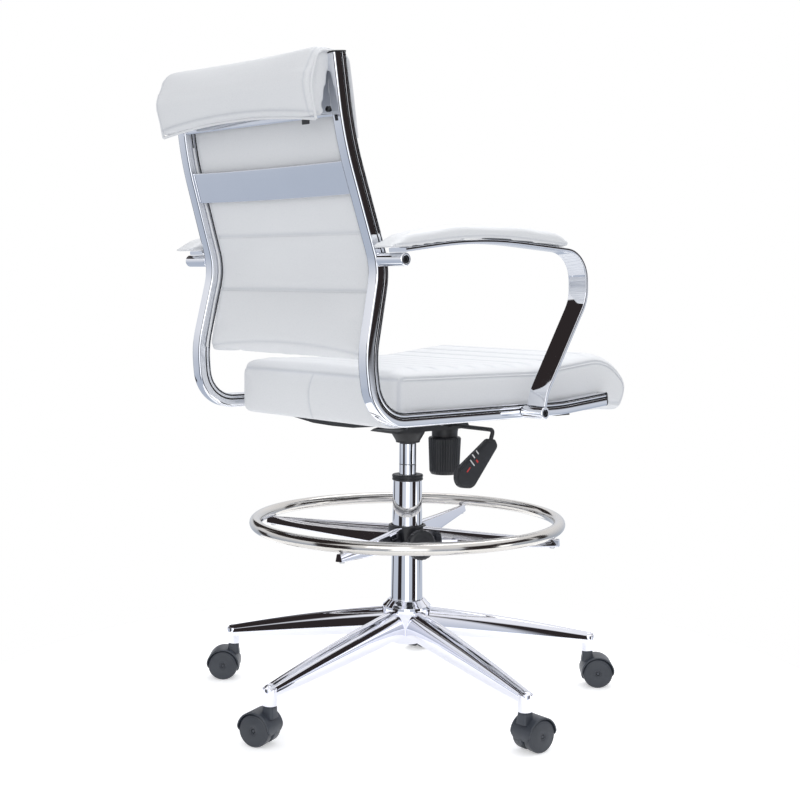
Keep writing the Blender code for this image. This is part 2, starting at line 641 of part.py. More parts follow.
def back():
    """The ribbed pad between the rails, and the pillow over its top."""
    count = 9
    path = []
    for index in range(count):
        height = BACK_TOP + (BACK_BOTTOM - BACK_TOP) * index / (count - 1)
        path.append(Vector((rail_forward(height), height)))
    pad = side_mesh("back_pad", band(path, 0.0005, BACK_THICKNESS), -1, 1)
    fit_between_rails(pad, 0.0008)
    add_piece("back_pad", pad, "white_leather")
    top = path[0]
    rear = side_mesh("pillow_rear", rounded_path((
        (top.x - 0.0230, 0.9190, 0.006), (top.x - 0.0170, 1.0030, 0.0), (top.x - 0.0170, 1.0180, 0.005),
        (top.x - 0.0400, 1.0180, 0.012), (top.x - 0.0560, 0.9600, 0.040),
        (top.x - 0.0480, 0.9190, 0.010)), closed=True), -0.1960, 0.1740)
    front = side_mesh("pillow_front", rounded_path((
        (top.x - 0.0180, 1.0018, 0.0), (top.x - 0.0180, 1.0180, 0.004),
        (top.x + 0.0420, 1.0230, 0.012), (top.x + 0.0500, 0.9700, 0.030),
        (top.x + 0.0590, 0.8930, 0.004), (top.x + 0.0500, 0.8930, 0.003),
        (top.x + 0.0325, 1.0018, 0.0)), closed=True), -0.1740, 0.1740)
    pillow = combine("head_pillow", front, [rear], "UNION")
    add_piece("head_pillow", pillow, "white_leather")


# ---------------------------------------------------------------- arms
def arms():
    """Each arm: a bent flat bar on two spacers, with a pad along its top."""
    path = rounded_path(ARM_CORNERS)
    bar_outline = band(path, -ARM_THICKNESS / 2, ARM_THICKNESS / 2)
    rear_up, front_up = REAR_SPACER[1], FRONT_SPACER[1]
    pad_outline = rounded_path((
        (-0.2850, 0.7420, 0.002), (-0.2520, 0.7443, 0.050), (-0.0980, 0.7628, 0.300),
        (0.0780, 0.7515, 0.002), (0.0900, 0.7540, 0.002), (0.0400, 0.7700, 0.060),
        (-0.1100, 0.7750, 0.300), (-0.2300, 0.7600, 0.080)), closed=True)
    for name, side in (("right", 1), ("left", -1)):
        edges = sorted((side * ARM_INNER, side * ARM_OUTER))
        add_piece(f"arm_bar_{name}", side_mesh(f"arm_bar_{name}", bar_outline, *edges), "chrome")
        edges = sorted((side * (ARM_INNER - 0.0050), side * (ARM_OUTER + 0.0050)))
        pad = side_mesh(f"arm_pad_{name}", pad_outline, *edges)
        add_piece(f"arm_pad_{name}", bevelled(f"arm_pad_{name}", pad, 0.0040, 1), "white_leather")
        for end, (forward, up) in (("rear", REAR_SPACER), ("front", FRONT_SPACER)):
            height = rear_up if end == "rear" else front_up
            inner = half_gap(height) + RAIL_WIDTH + 0.0009
            length = ARM_OUTER - inner
            place = across(forward, up, side * (inner + length / 2))
            spacer = cylinder_mesh("spacer", SPACER_RADIUS, length, place, 16)
            socket = across(forward, up, side * ARM_OUTER)
            hole = cylinder_mesh("socket", 0.0045, 0.0080, socket, 12)
            spacer = combine(f"arm_spacer_{end}_{name}", spacer, [hole], "DIFFERENCE")
            add_piece(f"arm_spacer_{end}_{name}", spacer, "chrome")


# ---------------------------------------------------------------- casters
def caster_meshes():
    """One caster's body and wheel, about its stem axis, with the wheels towards +X."""
    wheel_middle = (CASTER_TRAIL, 0, WHEEL_RADIUS)
    along_axle = Matrix.Translation(wheel_middle) @ Matrix.Rotation(math.pi / 2, 4, "X")
    hood_radius = WHEEL_RADIUS + 0.0030
    half = WHEEL_INNER + WHEEL_WIDTH
    stem = cylinder_mesh("stem", STEM_RADIUS, 0.0300, upright(0, 0.0710), 14)
    neck = box_mesh("neck", (-0.0090, -0.0090, 0.0440), (0.0090, 0.0090, SOCKET_BOTTOM - GAP))
    web = WHEEL_INNER - 0.0006
    fin = cylinder_mesh("fin", hood_radius - 0.0006, 2 * web, along_axle, 18)
    cover = cylinder_mesh("cover", hood_radius, 2 * half, along_axle, 20)
    room = cylinder_mesh("room", WHEEL_RADIUS + 0.0008, 0.2, along_axle, 20)
    low = box_mesh("low", (-0.1, -0.1, -0.1), (0.1, 0.1, HOOD_EDGE))
    foot = box_mesh("foot", (-0.1, -0.1, -0.1), (0.1, 0.1, 0.0120))
    fin = combine("fin", fin, [foot], "DIFFERENCE")
    cover = combine("cover", cover, [neck], "UNION")
    cover = combine("cover", cover, [room, low], "DIFFERENCE")
    axle = cylinder_mesh("axle", AXLE_RADIUS, 2 * half - 0.0060, along_axle, 12)
    body = combine("caster_body", cover, [fin, stem, axle], "UNION")
    outer, inner = WHEEL_INNER + WHEEL_WIDTH, WHEEL_INNER
    corner_radius = WHEEL_RADIUS / math.cos(math.pi / WHEEL_SIDES)
    wheel = turned_mesh("caster_wheel", (
        (AXLE_RADIUS + 0.0004, outer - 0.0010), (0.0200, outer - 0.0010),
        (corner_radius, outer - 0.0030),
        (corner_radius, inner + 0.0020), (WHEEL_RADIUS - 0.0020, inner),
        (AXLE_RADIUS + 0.0004, inner)), WHEEL_SIDES)
    wheel.transform(Matrix.Rotation(math.pi / WHEEL_SIDES, 4, "Z"))
    return body, wheel


def casters():
    """Five twin-wheel casters, each turned to its own heading."""
    body, wheel = caster_meshes()
    right_wheel = Matrix.Rotation(math.pi / 2, 4, "X")
    left_wheel = Matrix.Rotation(-math.pi / 2, 4, "X")
    for index, heading in enumerate(CASTER_HEADINGS):
        angle = LEG_PHASE + index * 2 * math.pi / LEG_COUNT
        stem = upright(CASTER_CIRCLE, 0, angle).translation
        place = Matrix.Translation(stem) @ Matrix.Rotation(math.radians(heading), 4, "Z")
        number = index + 1
        add_piece(f"caster_body_{number}", body, "caster_plastic", place)
        axle = place @ Matrix.Translation((CASTER_TRAIL, 0, WHEEL_RADIUS))
        add_piece(f"caster_wheel_{number}_a", wheel, "caster_plastic", axle @ right_wheel)
        add_piece(f"caster_wheel_{number}_b", wheel, "caster_plastic", axle @ left_wheel)


FRAME = start_scene()
base_star()
column()
gas_cylinder()
foot_ring()
mechanism_housing()
tilt_parts()
tension_parts()
lever_parts()
side_rails()
crossbars()
seat()
back()
arms()
casters()
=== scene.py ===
"""Looks of the drafting chair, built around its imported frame.

Metres, +Z up. The sitter faces -Y and the sitter's right hand is on the -X side.
Shapes are grids of points, grid[i, j], where i runs along a piece and j round it.
"""
import json
import math

import bmesh
import bpy
import numpy as np
from mathutils import Matrix, Vector


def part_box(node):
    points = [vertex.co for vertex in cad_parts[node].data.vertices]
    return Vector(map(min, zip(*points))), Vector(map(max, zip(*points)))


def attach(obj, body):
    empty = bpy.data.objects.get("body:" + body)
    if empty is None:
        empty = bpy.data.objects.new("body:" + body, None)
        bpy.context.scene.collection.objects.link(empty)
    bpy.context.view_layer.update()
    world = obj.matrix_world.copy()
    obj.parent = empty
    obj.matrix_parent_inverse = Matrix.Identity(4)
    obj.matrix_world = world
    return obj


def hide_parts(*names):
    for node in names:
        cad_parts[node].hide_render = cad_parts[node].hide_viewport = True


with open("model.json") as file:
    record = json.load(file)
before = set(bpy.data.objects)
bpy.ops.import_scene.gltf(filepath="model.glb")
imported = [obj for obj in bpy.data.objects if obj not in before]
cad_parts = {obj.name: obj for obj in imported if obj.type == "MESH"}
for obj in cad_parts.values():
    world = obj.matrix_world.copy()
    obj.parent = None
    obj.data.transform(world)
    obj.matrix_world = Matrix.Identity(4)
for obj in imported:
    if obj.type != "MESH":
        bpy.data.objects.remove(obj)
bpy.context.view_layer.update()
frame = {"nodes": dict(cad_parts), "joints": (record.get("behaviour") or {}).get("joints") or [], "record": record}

JOINTS = {joint["name"]: joint for joint in frame["joints"]}
TUBE_LOW, TUBE_HIGH = (np.array(corner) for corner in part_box("column_tube"))
COLUMN = (TUBE_LOW[:2] + TUBE_HIGH[:2]) / 2

RAIL_WIDTH, RAIL_DEPTH = 0.0210, 0.0220
RAIL_SPACING, RAIL_SPACING_HEIGHT = 0.2035, 0.7220
RAIL_LEAN = math.radians(2.58)
RAIL_CORNERS = (                  # forward, up, radius of the bend
    (-0.3120, 1.0100, 0), (-0.2990, 0.8980, 0.500), (-0.2400, 0.7150, 0.100),
    (-0.2680, 0.5900, 0.150), (-0.2580, 0.4980, 0.058), (0.1300, 0.4970, 0.500),
    (0.2380, 0.5060, 0))
ARM_CORNERS = (
    (-0.2480, 0.7410, 0), (-0.1000, 0.7600, 0.900), (0.1300, 0.7440, 0.048),
    (0.1330, 0.6700, 0.060), (0.0460, 0.5290, 0.050), (0.0410, 0.5075, 0))
ARM_PAD_CORNERS = (
    (-0.2850, 0.7420, 0.002), (-0.2520, 0.7443, 0.050), (-0.0980, 0.7638, 0.900),
    (0.0810, 0.7510, 0.003), (0.0950, 0.7560, 0.005), (0.0620, 0.7735, 0.060),
    (-0.0200, 0.7805, 0.400), (-0.1500, 0.7790, 0.300), (-0.2450, 0.7645, 0.060))
SEAT_CORNERS = (
    (-0.2060, 0.4790, 0.012), (0.2720, 0.4830, 0.020), (0.3160, 0.4790, 0.014),
    (0.3390, 0.5270, 0.036), (0.2760, 0.5850, 0.110), (0.1000, 0.5660, 0.300),
    (-0.2060, 0.5690, 0.024))
ARM_INNER, ARM_OUTER, ARM_THICKNESS = 0.2320, 0.2685, 0.0060
REAR_SPACER, FRONT_SPACER = (-0.2480, 0.7280), (0.0410, 0.4975)
SPACER_RADIUS = 0.0095
LEVER_ROOT, PADDLE_RIGHT = (0.0660, 0.4590), 0.1325
LEG_REACH = 0.325                 # from the column to a caster's stem
LEG_ARCH_POWER = 0.82
SPOKE_ENDS = (0.0295, 0.2620)   # from the column, out to the inside of the ring
SPOKE_ANGLES = np.radians(25.0 + 90.0 * np.arange(4))
RING_RADIUS, RING_TUBE = 0.2510, 0.0100
BACK_SEAMS = (0.684, 0.767, 0.850, 0.933)     # heights of the seams behind the back
RIB_PITCH = 0.0415
FLOOR_RADIUS = 0.75
DARK_FLAGS = (                    # azimuth, lowest and highest as sines, half width
    (40, 0.34, 0.94, 0.62), (-15, 0.15, 0.67, 0.22), (84, -0.60, 0.35, 0.27),
    (192, -0.60, 0.45, 0.26), (-110, -0.20, 0.50, 0.12), (12, -0.40, 0.06, 0.14),
    (-138, -0.02, 0.50, 0.30))
LIGHT_BOXES = ((140, -0.45, 0.30, 0.24), (-150, -0.40, -0.05, 0.14))


# ---------------------------------------------------------------- curves and grids
def unit(vector):
    """The vector, or each row of an array of them, at length 1."""
    vector = np.asarray(vector, float)
    return vector / np.linalg.norm(vector, axis=-1, keepdims=True)


def chair(forward, right, up):
    """Points of the frame from how far forward, to the sitter's right and up they are."""
    forward, right, up = np.broadcast_arrays(forward, right, up)
    return np.stack([COLUMN[0] - right, COLUMN[1] - forward, up], -1)


def evenly(line, count, closed=False):
    """The line again, as count points at equal distances along it."""
    run = np.concatenate([[0], np.cumsum(np.linalg.norm(np.diff(line, axis=0), axis=1))])
    stops = np.linspace(0, run[-1], count, endpoint=not closed)
    return np.stack([np.interp(stops, run, column) for column in line.T], -1)


def rounded(corners, closed=False, count=None, arc_points=14):
    """Straight runs joined by arcs: each corner is (x, y, radius). With count, evenly spaced."""
    corners = np.array(corners, float)
    places, radii = corners[:, :2], corners[:, 2]
    backs, aheads = np.roll(places, 1, 0) - places, np.roll(places, -1, 0) - places
    runs = []
    for index, (here, radius) in enumerate(zip(places, radii)):
        if radius == 0 or (not closed and index in (0, len(places) - 1)):
            runs.append(here[None])
            continue
        back, ahead = unit(backs[index]), unit(aheads[index])
        half = math.acos(np.clip(back @ ahead, -1, 1)) / 2
        centre = here + unit(back + ahead) * radius / math.sin(half)
        start = here + back * radius / math.tan(half) - centre
        turn = -math.copysign(1, back[0] * ahead[1] - back[1] * ahead[0])
        angle = turn * np.linspace(0, math.pi - 2 * half, arc_points)
        cos, sin = np.cos(angle), np.sin(angle)
        runs.append(centre + np.stack([start[0] * cos - start[1] * sin,
                                       start[0] * sin + start[1] * cos], -1))
    line = np.vstack(runs)
    if count is None:
        return line
    if closed:
        line = np.vstack([line, line[:1]])
    return evenly(line, count, closed)


def left_normals(line, closed=False):
    """At each point of a plane line, the unit vector to the left of the way it runs."""
    if closed:
        run = np.roll(line, -1, 0) - np.roll(line, 1, 0)
    else:
        run = np.gradient(line, axis=0)
    run = unit(run)
    return np.stack([-run[:, 1], run[:, 0]], -1)


def outward_normals(line):
    """At each point of a closed outline, the unit vector that points out of it."""
    after = np.roll(line, -1, 0)
    area = np.sum(line[:, 0] * after[:, 1] - after[:, 0] * line[:, 1])
    return -left_normals(line, closed=True) * math.copysign(1, area)


def carried(path, sideways, upwards, profile):
    """A profile carried along a path: path + sideways * profile x + upwards * profile y."""
    profile = np.broadcast_to(profile, (len(path),) + np.shape(profile)[-2:])
    return (path[:, None] + np.asarray(sideways)[..., None, :] * profile[..., :1]
            + np.asarray(upwards)[..., None, :] * profile[..., 1:])


def ring_profile(radius, sides=20):
    """A circle of points, as a profile to carry."""
    angle = np.linspace(0, 2 * math.pi, sides, endpoint=False)
    return radius * np.stack([np.cos(angle), np.sin(angle)], -1)


def turned(profile, sides=72, ribs=0, depth=0.0, ribbed=(-1, 1)):
    """A profile (radius, height) turned about Z: (r cos a, r sin a, h).

    Between the ribbed heights the radius is less depth * (1 - |cos(ribs a / 2)|), which
    leaves that many rounded flutes round the rim.
    """
    angle = np.linspace(0, 2 * math.pi, sides, endpoint=False)[None]
    profile = np.asarray(profile, float)
    radius, height = profile[:, :1], profile[:, 1:2]
    inside = (height > ribbed[0]) & (height < ribbed[1])
    radius = radius - inside * depth * (1 - np.abs(np.cos(ribs * angle / 2)))
    return np.stack([radius * np.cos(angle), radius * np.sin(angle),
                     height + 0 * angle], -1)


def stood(grid, origin, axis=(0, 0, 1), heading=(1, 0, 0)):
    """The grid with its Z turned to an axis, its X as near a heading as it can, and moved."""
    up = unit(axis)
    if abs(up @ unit(heading)) > 0.99:
        heading = (0, 1, 0)
    side = unit(np.cross(up, heading))
    return np.asarray(origin) + grid @ np.stack([np.cross(side, up), side, up])


def slab(line, half, edge, count, middle=0.0):
    """A closed outline (forward, up) carried across by half each way, with rounded edges.

    Within edge of an end the outline draws in by edge - sqrt(edge^2 - k^2), where k is
    the distance into that zone, so the edge is a quarter circle.
    """
    corner = edge * np.sin(np.linspace(0, math.pi / 2, 9))
    plain = np.linspace(-(half - edge), half - edge, count)
    across = np.concatenate([-(half - edge) - corner[:0:-1], plain, half - edge + corner[1:]])
    into = np.clip(np.abs(across) - (half - edge), 0, edge)
    drawn = edge - np.sqrt(np.maximum(edge ** 2 - into ** 2, 0))
    rows = line[None] - outward_normals(line)[None] * drawn[:, None, None]
    return chair(rows[..., 0], middle + across[:, None], rows[..., 1])


def lean(distance, up):
    """Distance from the middle and height, turned by the rails' lean about their spacing."""
    out, rise = distance - RAIL_SPACING, up - RAIL_SPACING_HEIGHT
    cos, sin = math.cos(RAIL_LEAN), math.sin(RAIL_LEAN)
    return RAIL_SPACING + out * cos - rise * sin, RAIL_SPACING_HEIGHT + out * sin + rise * cos


def half_gap(up):
    """Half the clear width between the rails at a height."""
    out = math.tan(RAIL_LEAN) * (up - RAIL_SPACING_HEIGHT)
    return RAIL_SPACING - out - RAIL_WIDTH / 2 / math.cos(RAIL_LEAN)


RAIL_LINE = rounded(RAIL_CORNERS, count=260)
BACK_LINE = RAIL_LINE[RAIL_LINE[:, 1] > 0.56][::-1]


def rail_forward(up):
    """How far forward the rail's centre line is at a height of the back."""
    return np.interp(up, BACK_LINE[:, 1], BACK_LINE[:, 0])


# ---------------------------------------------------------------- pieces
def welded(name, grid, quads, caps=()):
    """A mesh of quads and caps with doubles merged, slivers gone and faces outwards."""
    mesh = bpy.data.meshes.new(name)
    mesh.from_pydata(grid.reshape(-1, 3), [], quads.reshape(-1, 4).tolist() + list(caps))
    work = bmesh.new()
    work.from_mesh(mesh)
    bmesh.ops.remove_doubles(work, verts=work.verts, dist=1e-6)
    bmesh.ops.dissolve_degenerate(work, edges=work.edges, dist=1e-7)
    bmesh.ops.recalc_face_normals(work, faces=work.faces)
    work.to_mesh(mesh)
    work.free()
    return mesh


def mesh_from(name, grid, loop=False, capped=True):
    """A mesh over a grid, wrapped round j: looped along i, or with its two ends capped."""
    rows, columns = grid.shape[:2]
    index = np.arange(rows * columns).reshape(rows, columns)
    caps = [index[0].tolist(), index[-1][::-1].tolist()] if capped and not loop else []
    if loop:
        index = np.vstack([index, index[:1]])
    index = np.hstack([index, index[:, :1]])
    quads = np.stack([index[:-1, :-1], index[1:, :-1], index[1:, 1:], index[:-1, 1:]], -1)
    return welded(name, grid, quads, caps)


def fit(name, shape, body, finish, stands_for=(), sharp=38):
    """A grid or mesh as a piece of the chair: its finish, its body and what it stands for."""
    mesh = mesh_from(name, shape) if isinstance(shape, np.ndarray) else shape
    piece = bpy.data.objects.new(name, mesh)
    bpy.context.scene.collection.objects.link(piece)
    finishes = finish if isinstance(finish, tuple) else (finish,)
    for material in finishes:
        mesh.materials.append(material)
    mesh.shade_smooth()
    mesh.set_sharp_from_angle(angle=math.radians(sharp))
    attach(piece, body)
    if stands_for:
        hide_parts(*stands_for)
    return piece


def turned_piece(name, profile, origin, body, finish, stands_for=(), axis=(0, 0, 1),
                 loop=False, **turning):
    """A turned piece, from its profile to its place."""
    grid = stood(turned(profile, **turning), origin, axis)
    return fit(name, mesh_from(name, grid, loop=loop, capped=not loop), body, finish, stands_for)


def coordinates(mesh):
    """The places of a mesh's vertices, as an array."""
    places = np.empty(len(mesh.vertices) * 3, np.float32)
    mesh.vertices.foreach_get("co", places)
    return places.reshape(-1, 3).astype(float)


def place_vertices(mesh, places):
    """Put a mesh's vertices at new places."""
    mesh.vertices.foreach_set("co", places.astype(np.float32).ravel())
    mesh.update()


def baked(piece):
    """The mesh that an object's modifiers make."""
    graph = bpy.context.evaluated_depsgraph_get()
    return bpy.data.meshes.new_from_object(piece.evaluated_get(graph))


# ---------------------------------------------------------------- shader maths
class Value:
    """A shader socket that takes part in sums: + - * / ** and abs add Math nodes."""

    def __init__(self, recipe, socket):
        self.recipe, self.socket = recipe, socket

    def maths(self, operation, *others):
        return self.recipe.node("Math", {"operation": operation},
                                dict(enumerate((self, *others))))

    def __add__(self, other):
        return self.maths("ADD", other)

    def __mul__(self, other):
        return self.maths("MULTIPLY", other)

    def __sub__(self, other):
        return self.maths("SUBTRACT", other)

    def __rsub__(self, other):
        return self * -1 + other

    def __truediv__(self, other):
        return self.maths("DIVIDE", other)

    def __pow__(self, other):
        return self.maths("POWER", other)

    def __abs__(self):
        return self.maths("ABSOLUTE")

    __radd__, __rmul__ = __add__, __mul__

    def clamped(self, low, high):
        return self.maths("MAXIMUM", low).maths("MINIMUM", high)


class Recipe:
    """A node tree being mixed. Any node comes from node(): type, settings, then sockets."""

    def __init__(self, tree):
        self.tree = tree

    def node(self, kind, settings=(), sockets=(), output=0):
        made = self.tree.nodes.new("ShaderNode" + kind)
        for key, value in dict(settings).items():
            setattr(made, key, value)
        for key, value in dict(sockets).items():
            self.feed(made.inputs[key], value)
        return Value(self, made.outputs[output])

    def feed(self, target, value):
        if isinstance(value, Value):
            self.tree.links.new(value.socket, target)
        else:
            target.default_value = value

    def split(self, vector):
        """The three parts of a vector."""
        parts = self.tree.nodes.new("ShaderNodeSeparateXYZ")
        self.feed(parts.inputs[0], vector)
        return [Value(self, part) for part in parts.outputs]

    def mix(self, factor, first, second):
        """From the first colour to the second."""
        return self.node("Mix", {"data_type": "RGBA"}, {0: factor, 6: first, 7: second}, 2)

    def noise(self, scale, detail=3.0, roughness=0.5, stretch=(1, 1, 1)):
        place = self.node("TexCoord", output="Object")
        place = self.node("Mapping", {}, {"Vector": place, "Scale": stretch})
        return self.node("TexNoise", {}, {"Vector": place, "Scale": scale, "Detail": detail,
                                          "Roughness": roughness}, "Fac")

    def bump(self, height, strength, distance):
        return self.node("Bump", {}, {"Height": height, "Strength": strength,
                                      "Distance": distance}, "Normal")


def finish_named(name, metallic=0.0, **constants):
    """A new material, its recipe and its shader, with what is the same all over it set."""
    material = bpy.data.materials.new(name)
    material.use_nodes = True
    shader = material.node_tree.nodes["Principled BSDF"]
    shader.inputs["Metallic"].default_value = metallic
    for key, value in constants.items():
        shader.inputs[key.replace("_", " ")].default_value = value
    return material, Recipe(material.node_tree), shader


def colour(red, green, blue):
    """A shader's colour."""
    return (red, green, blue, 1.0)


def bright_chrome(name, clean, dull, smear):
    """Plated metal: two tints of plating and a polish that wipe marks dull a little."""
    material, recipe, shader = finish_named(name, metallic=1.0)
    wipe = recipe.noise(9.0, 4.0, 0.6, (1, 1, 0.35))
    specks = recipe.noise(420.0, 2.0)
    recipe.feed(shader.inputs["Base Color"], recipe.mix(wipe, clean, dull))
    recipe.feed(shader.inputs["Roughness"],
                (wipe - 0.45).clamped(0, 1) * smear + specks * 0.02 + 0.025)
    return material


def ring_steel():
    """The foot ring's tube: polished steel with fine lines along the tube."""
    material, recipe, shader = finish_named("polished_ring_steel", metallic=1.0)
    x, y, z = recipe.split(recipe.node("TexCoord", output="Object"))
    across, along = x - float(COLUMN[0]), y - float(COLUMN[1])
    radius = (across * across + along * along) ** 0.5
    lines = recipe.node("TexNoise", {"noise_dimensions": "2D"}, {
        "Vector": recipe.node("CombineXYZ", {}, {0: radius, 1: z}),
        "Scale": 900.0, "Detail": 2.0}, "Fac")
    wipe = recipe.noise(7.0, 4.0, 0.6)
    recipe.feed(shader.inputs["Base Color"],
                recipe.mix(wipe, colour(0.70, 0.68, 0.65), colour(0.58, 0.56, 0.53)))
    recipe.feed(shader.inputs["Roughness"], lines * 0.10 + wipe * 0.08 + 0.04)
    recipe.feed(shader.inputs["Normal"], recipe.bump(lines, 0.05, 0.0002))
    return material


def plain_steel():
    """Zinc-plated turned steel, matt, with a fine cloudy grain."""
    material, recipe, shader = finish_named("zinc_steel", metallic=1.0)
    cloud = recipe.noise(60.0, 5.0, 0.6)
    recipe.feed(shader.inputs["Base Color"],
                recipe.mix(cloud, colour(0.62, 0.63, 0.65), colour(0.44, 0.45, 0.47)))
    recipe.feed(shader.inputs["Roughness"], cloud * 0.2 + 0.22)
    recipe.feed(shader.inputs["Normal"], recipe.bump(recipe.noise(1600.0), 0.08, 0.0002))
    return material


def moulded(name, tint, rough, grain, relief=0.12):
    """Moulded plastic or powder coat: a fine even grain, and rubbed patches a bit glossier."""
    material, recipe, shader = finish_named(name)
    patches = recipe.noise(26.0, 4.0, 0.6)
    worn = tuple(min(1.0, part * 1.7 + 0.006) for part in tint)
    recipe.feed(shader.inputs["Base Color"], recipe.mix(
        (patches - 0.4).clamped(0, 1), colour(*tint), colour(*worn)))
    recipe.feed(shader.inputs["Roughness"], patches * -0.16 + (rough + 0.08))
    recipe.feed(shader.inputs["Normal"], recipe.bump(recipe.noise(grain, 2.0), relief, 0.0003))
    return material


def white_leather():
    """Coated leather: pebble grain, soft broad variation in whiteness, painted shade that darkens the creases at
    seams towards blue-grey, and duller creases.
    """
    material, recipe, shader = finish_named("white_coated_leather", Specular_IOR_Level=0.42)
    place = recipe.node("TexCoord", output="Object")
    wander = recipe.noise(240.0, 2.0)
    pebbles = recipe.node("TexVoronoi", {"feature": "SMOOTH_F1"}, {
        "Vector": place, "Scale": 620.0, "Smoothness": 0.6, "Randomness": 1.0}, "Distance")
    folds = recipe.noise(38.0, 5.0, 0.62, (1, 1, 1.6))
    crease = recipe.node("Attribute", {"attribute_name": "crease"}, {}, "Fac")
    tone_and_crease_shade = recipe.mix(recipe.noise(5.0, 3.0), colour(0.84, 0.85, 0.865), colour(0.79, 0.80, 0.82))
    pits = (pebbles - 0.35).clamped(0, 1)
    # painted shade: the crease attribute darkens the creases towards blue-grey; the pits between pebbles darken a
    # little too
    tone_and_crease_shade = recipe.mix(pits * 0.25 + crease * 0.5, tone_and_crease_shade, colour(0.56, 0.585, 0.64))
    recipe.feed(shader.inputs["Base Color"], tone_and_crease_shade)
    recipe.feed(shader.inputs["Roughness"], pebbles * 0.12 + wander * 0.10 + crease * 0.12 + 0.30)
    height = pebbles * -0.7 + wander * 0.25 + folds * 1.3
    recipe.feed(shader.inputs["Normal"], recipe.bump(height, 0.16, 0.0009))
    return material


def thread():
    """White sewing thread, its twist as fine slanting ridges."""
    material, recipe, shader = finish_named("white_thread")
    place = recipe.node("TexCoord", output="Object")
    twist = recipe.node("TexWave", {"bands_direction": "DIAGONAL"}, {
        "Vector": place, "Scale": 900.0, "Distortion": 1.0}, "Fac")
    recipe.feed(shader.inputs["Base Color"],
                recipe.mix(twist, colour(0.74, 0.75, 0.77), colour(0.56, 0.57, 0.60)))
    recipe.feed(shader.inputs["Roughness"], twist * 0.1 + 0.6)
    recipe.feed(shader.inputs["Normal"], recipe.bump(twist, 0.3, 0.0002))
    return material


CHROME = bright_chrome("mirror_chrome", colour(0.84, 0.855, 0.89), colour(0.78, 0.795, 0.84), 0.05)
CAST_CHROME = bright_chrome("polished_casting", colour(0.84, 0.85, 0.91),
                            colour(0.78, 0.79, 0.86), 0.09)
RING_STEEL = ring_steel()
PLAIN_STEEL = plain_steel()
BLACK_STEEL = moulded("black_powder_coat", (0.017, 0.017, 0.019), 0.42, 900.0)
BLACK_PLASTIC = moulded("satin_black_plastic", (0.014, 0.015, 0.018), 0.40, 1500.0)
# painted shade: near-black given to the rails' recessed grooves, where the chrome looks dark
GROOVE_PAINTED_SHADE = moulded("rail_groove_painted_shade", (0.006, 0.006, 0.008), 0.40, 1500.0, 0.05)
CASTER_PLASTIC = moulded("slate_caster_nylon", (0.034, 0.040, 0.052), 0.42, 1300.0)
WHEEL_PLASTIC = moulded("slate_wheel_tread", (0.026, 0.031, 0.041), 0.36, 1300.0)
WHITE_MARK = moulded("white_print", (0.62, 0.62, 0.62), 0.5, 1300.0, 0.03)
RED_MARK = moulded("red_print", (0.55, 0.030, 0.028), 0.5, 1300.0, 0.03)
LEATHER = white_leather()
THREAD = thread()
FINISHES = {                      # slot: the frame's own finish, then the others it covers
    "chrome": (CHROME, CAST_CHROME, GROOVE_PAINTED_SHADE), "ring_steel": (RING_STEEL,),
    "plain_steel": (PLAIN_STEEL,), "black_steel": (BLACK_STEEL,),
    "black_plastic": (BLACK_PLASTIC, WHITE_MARK, RED_MARK),
    "caster_plastic": (CASTER_PLASTIC, WHEEL_PLASTIC), "white_leather": (LEATHER, THREAD)}


def dress_frame():
    """Give every piece carried over from the frame the finish of its slot."""
    for part in frame["record"]["subparts"]:
        node = frame["nodes"][part["node"]]
        node.data.materials.clear()
        node.data.materials.append(FINISHES[part["material_slot"]][0])


# ---------------------------------------------------------------- rails, arms and crossbars
def rail_section():
    """Half of the rail's section mirrored: a round-backed bar, then two grooves and two lips."""
    half, back, front = RAIL_WIDTH / 2, -RAIL_DEPTH / 2, RAIL_DEPTH / 2
    deep = half - 0.0020
    side = rounded((
        (0, back, 0), (half, back, 0.0034), (half, 0.0016, 0.0005), (deep, 0.0016, 0),
        (deep, 0.0040, 0), (half - 0.0003, 0.0040, 0.0005), (half - 0.0003, 0.0078, 0.0005),
        (deep, 0.0078, 0), (deep, 0.0100, 0), (half - 0.0008, 0.0100, 0.0002),
        (half - 0.0008, front, 0.0003), (0, front, 0)), arc_points=6)
    return np.vstack([side, side[-2:0:-1] * (-1, 1)])


def side_rails():
    """The two rails, their section carried along the side outline and leaned inwards."""
    section = rail_section()
    after = np.roll(section, -1, 0)
    middle = (section + after) / 2
    groove = (np.abs(middle[:, 0]) < RAIL_WIDTH / 2 - 0.0009) & (middle[:, 1] > 0.0015) \
        & (middle[:, 1] < 0.0101)
    normals = left_normals(RAIL_LINE)
    for name, side in (("right", 1), ("left", -1)):
        depth = section[:, 1][None, :, None] * normals[:, None]
        line = RAIL_LINE[:, None] + depth
        distance, up = lean(RAIL_SPACING + section[:, 0][None], line[..., 1])
        grid = chair(line[..., 0], side * distance, up)
        mesh = mesh_from(f"rail_{name}", grid)
        flat = np.tile(groove, len(RAIL_LINE) - 1)
        marks = np.zeros(len(mesh.polygons), np.int32)
        marks[:len(flat)] = flat
        # the groove faces take the near-black painted shade
        piece = fit(f"rail_{name}", mesh, "seat", (CHROME, GROOVE_PAINTED_SHADE),
                    (f"side_rail_{name}",), sharp=30)
        piece.data.polygons.foreach_set("material_index", marks)


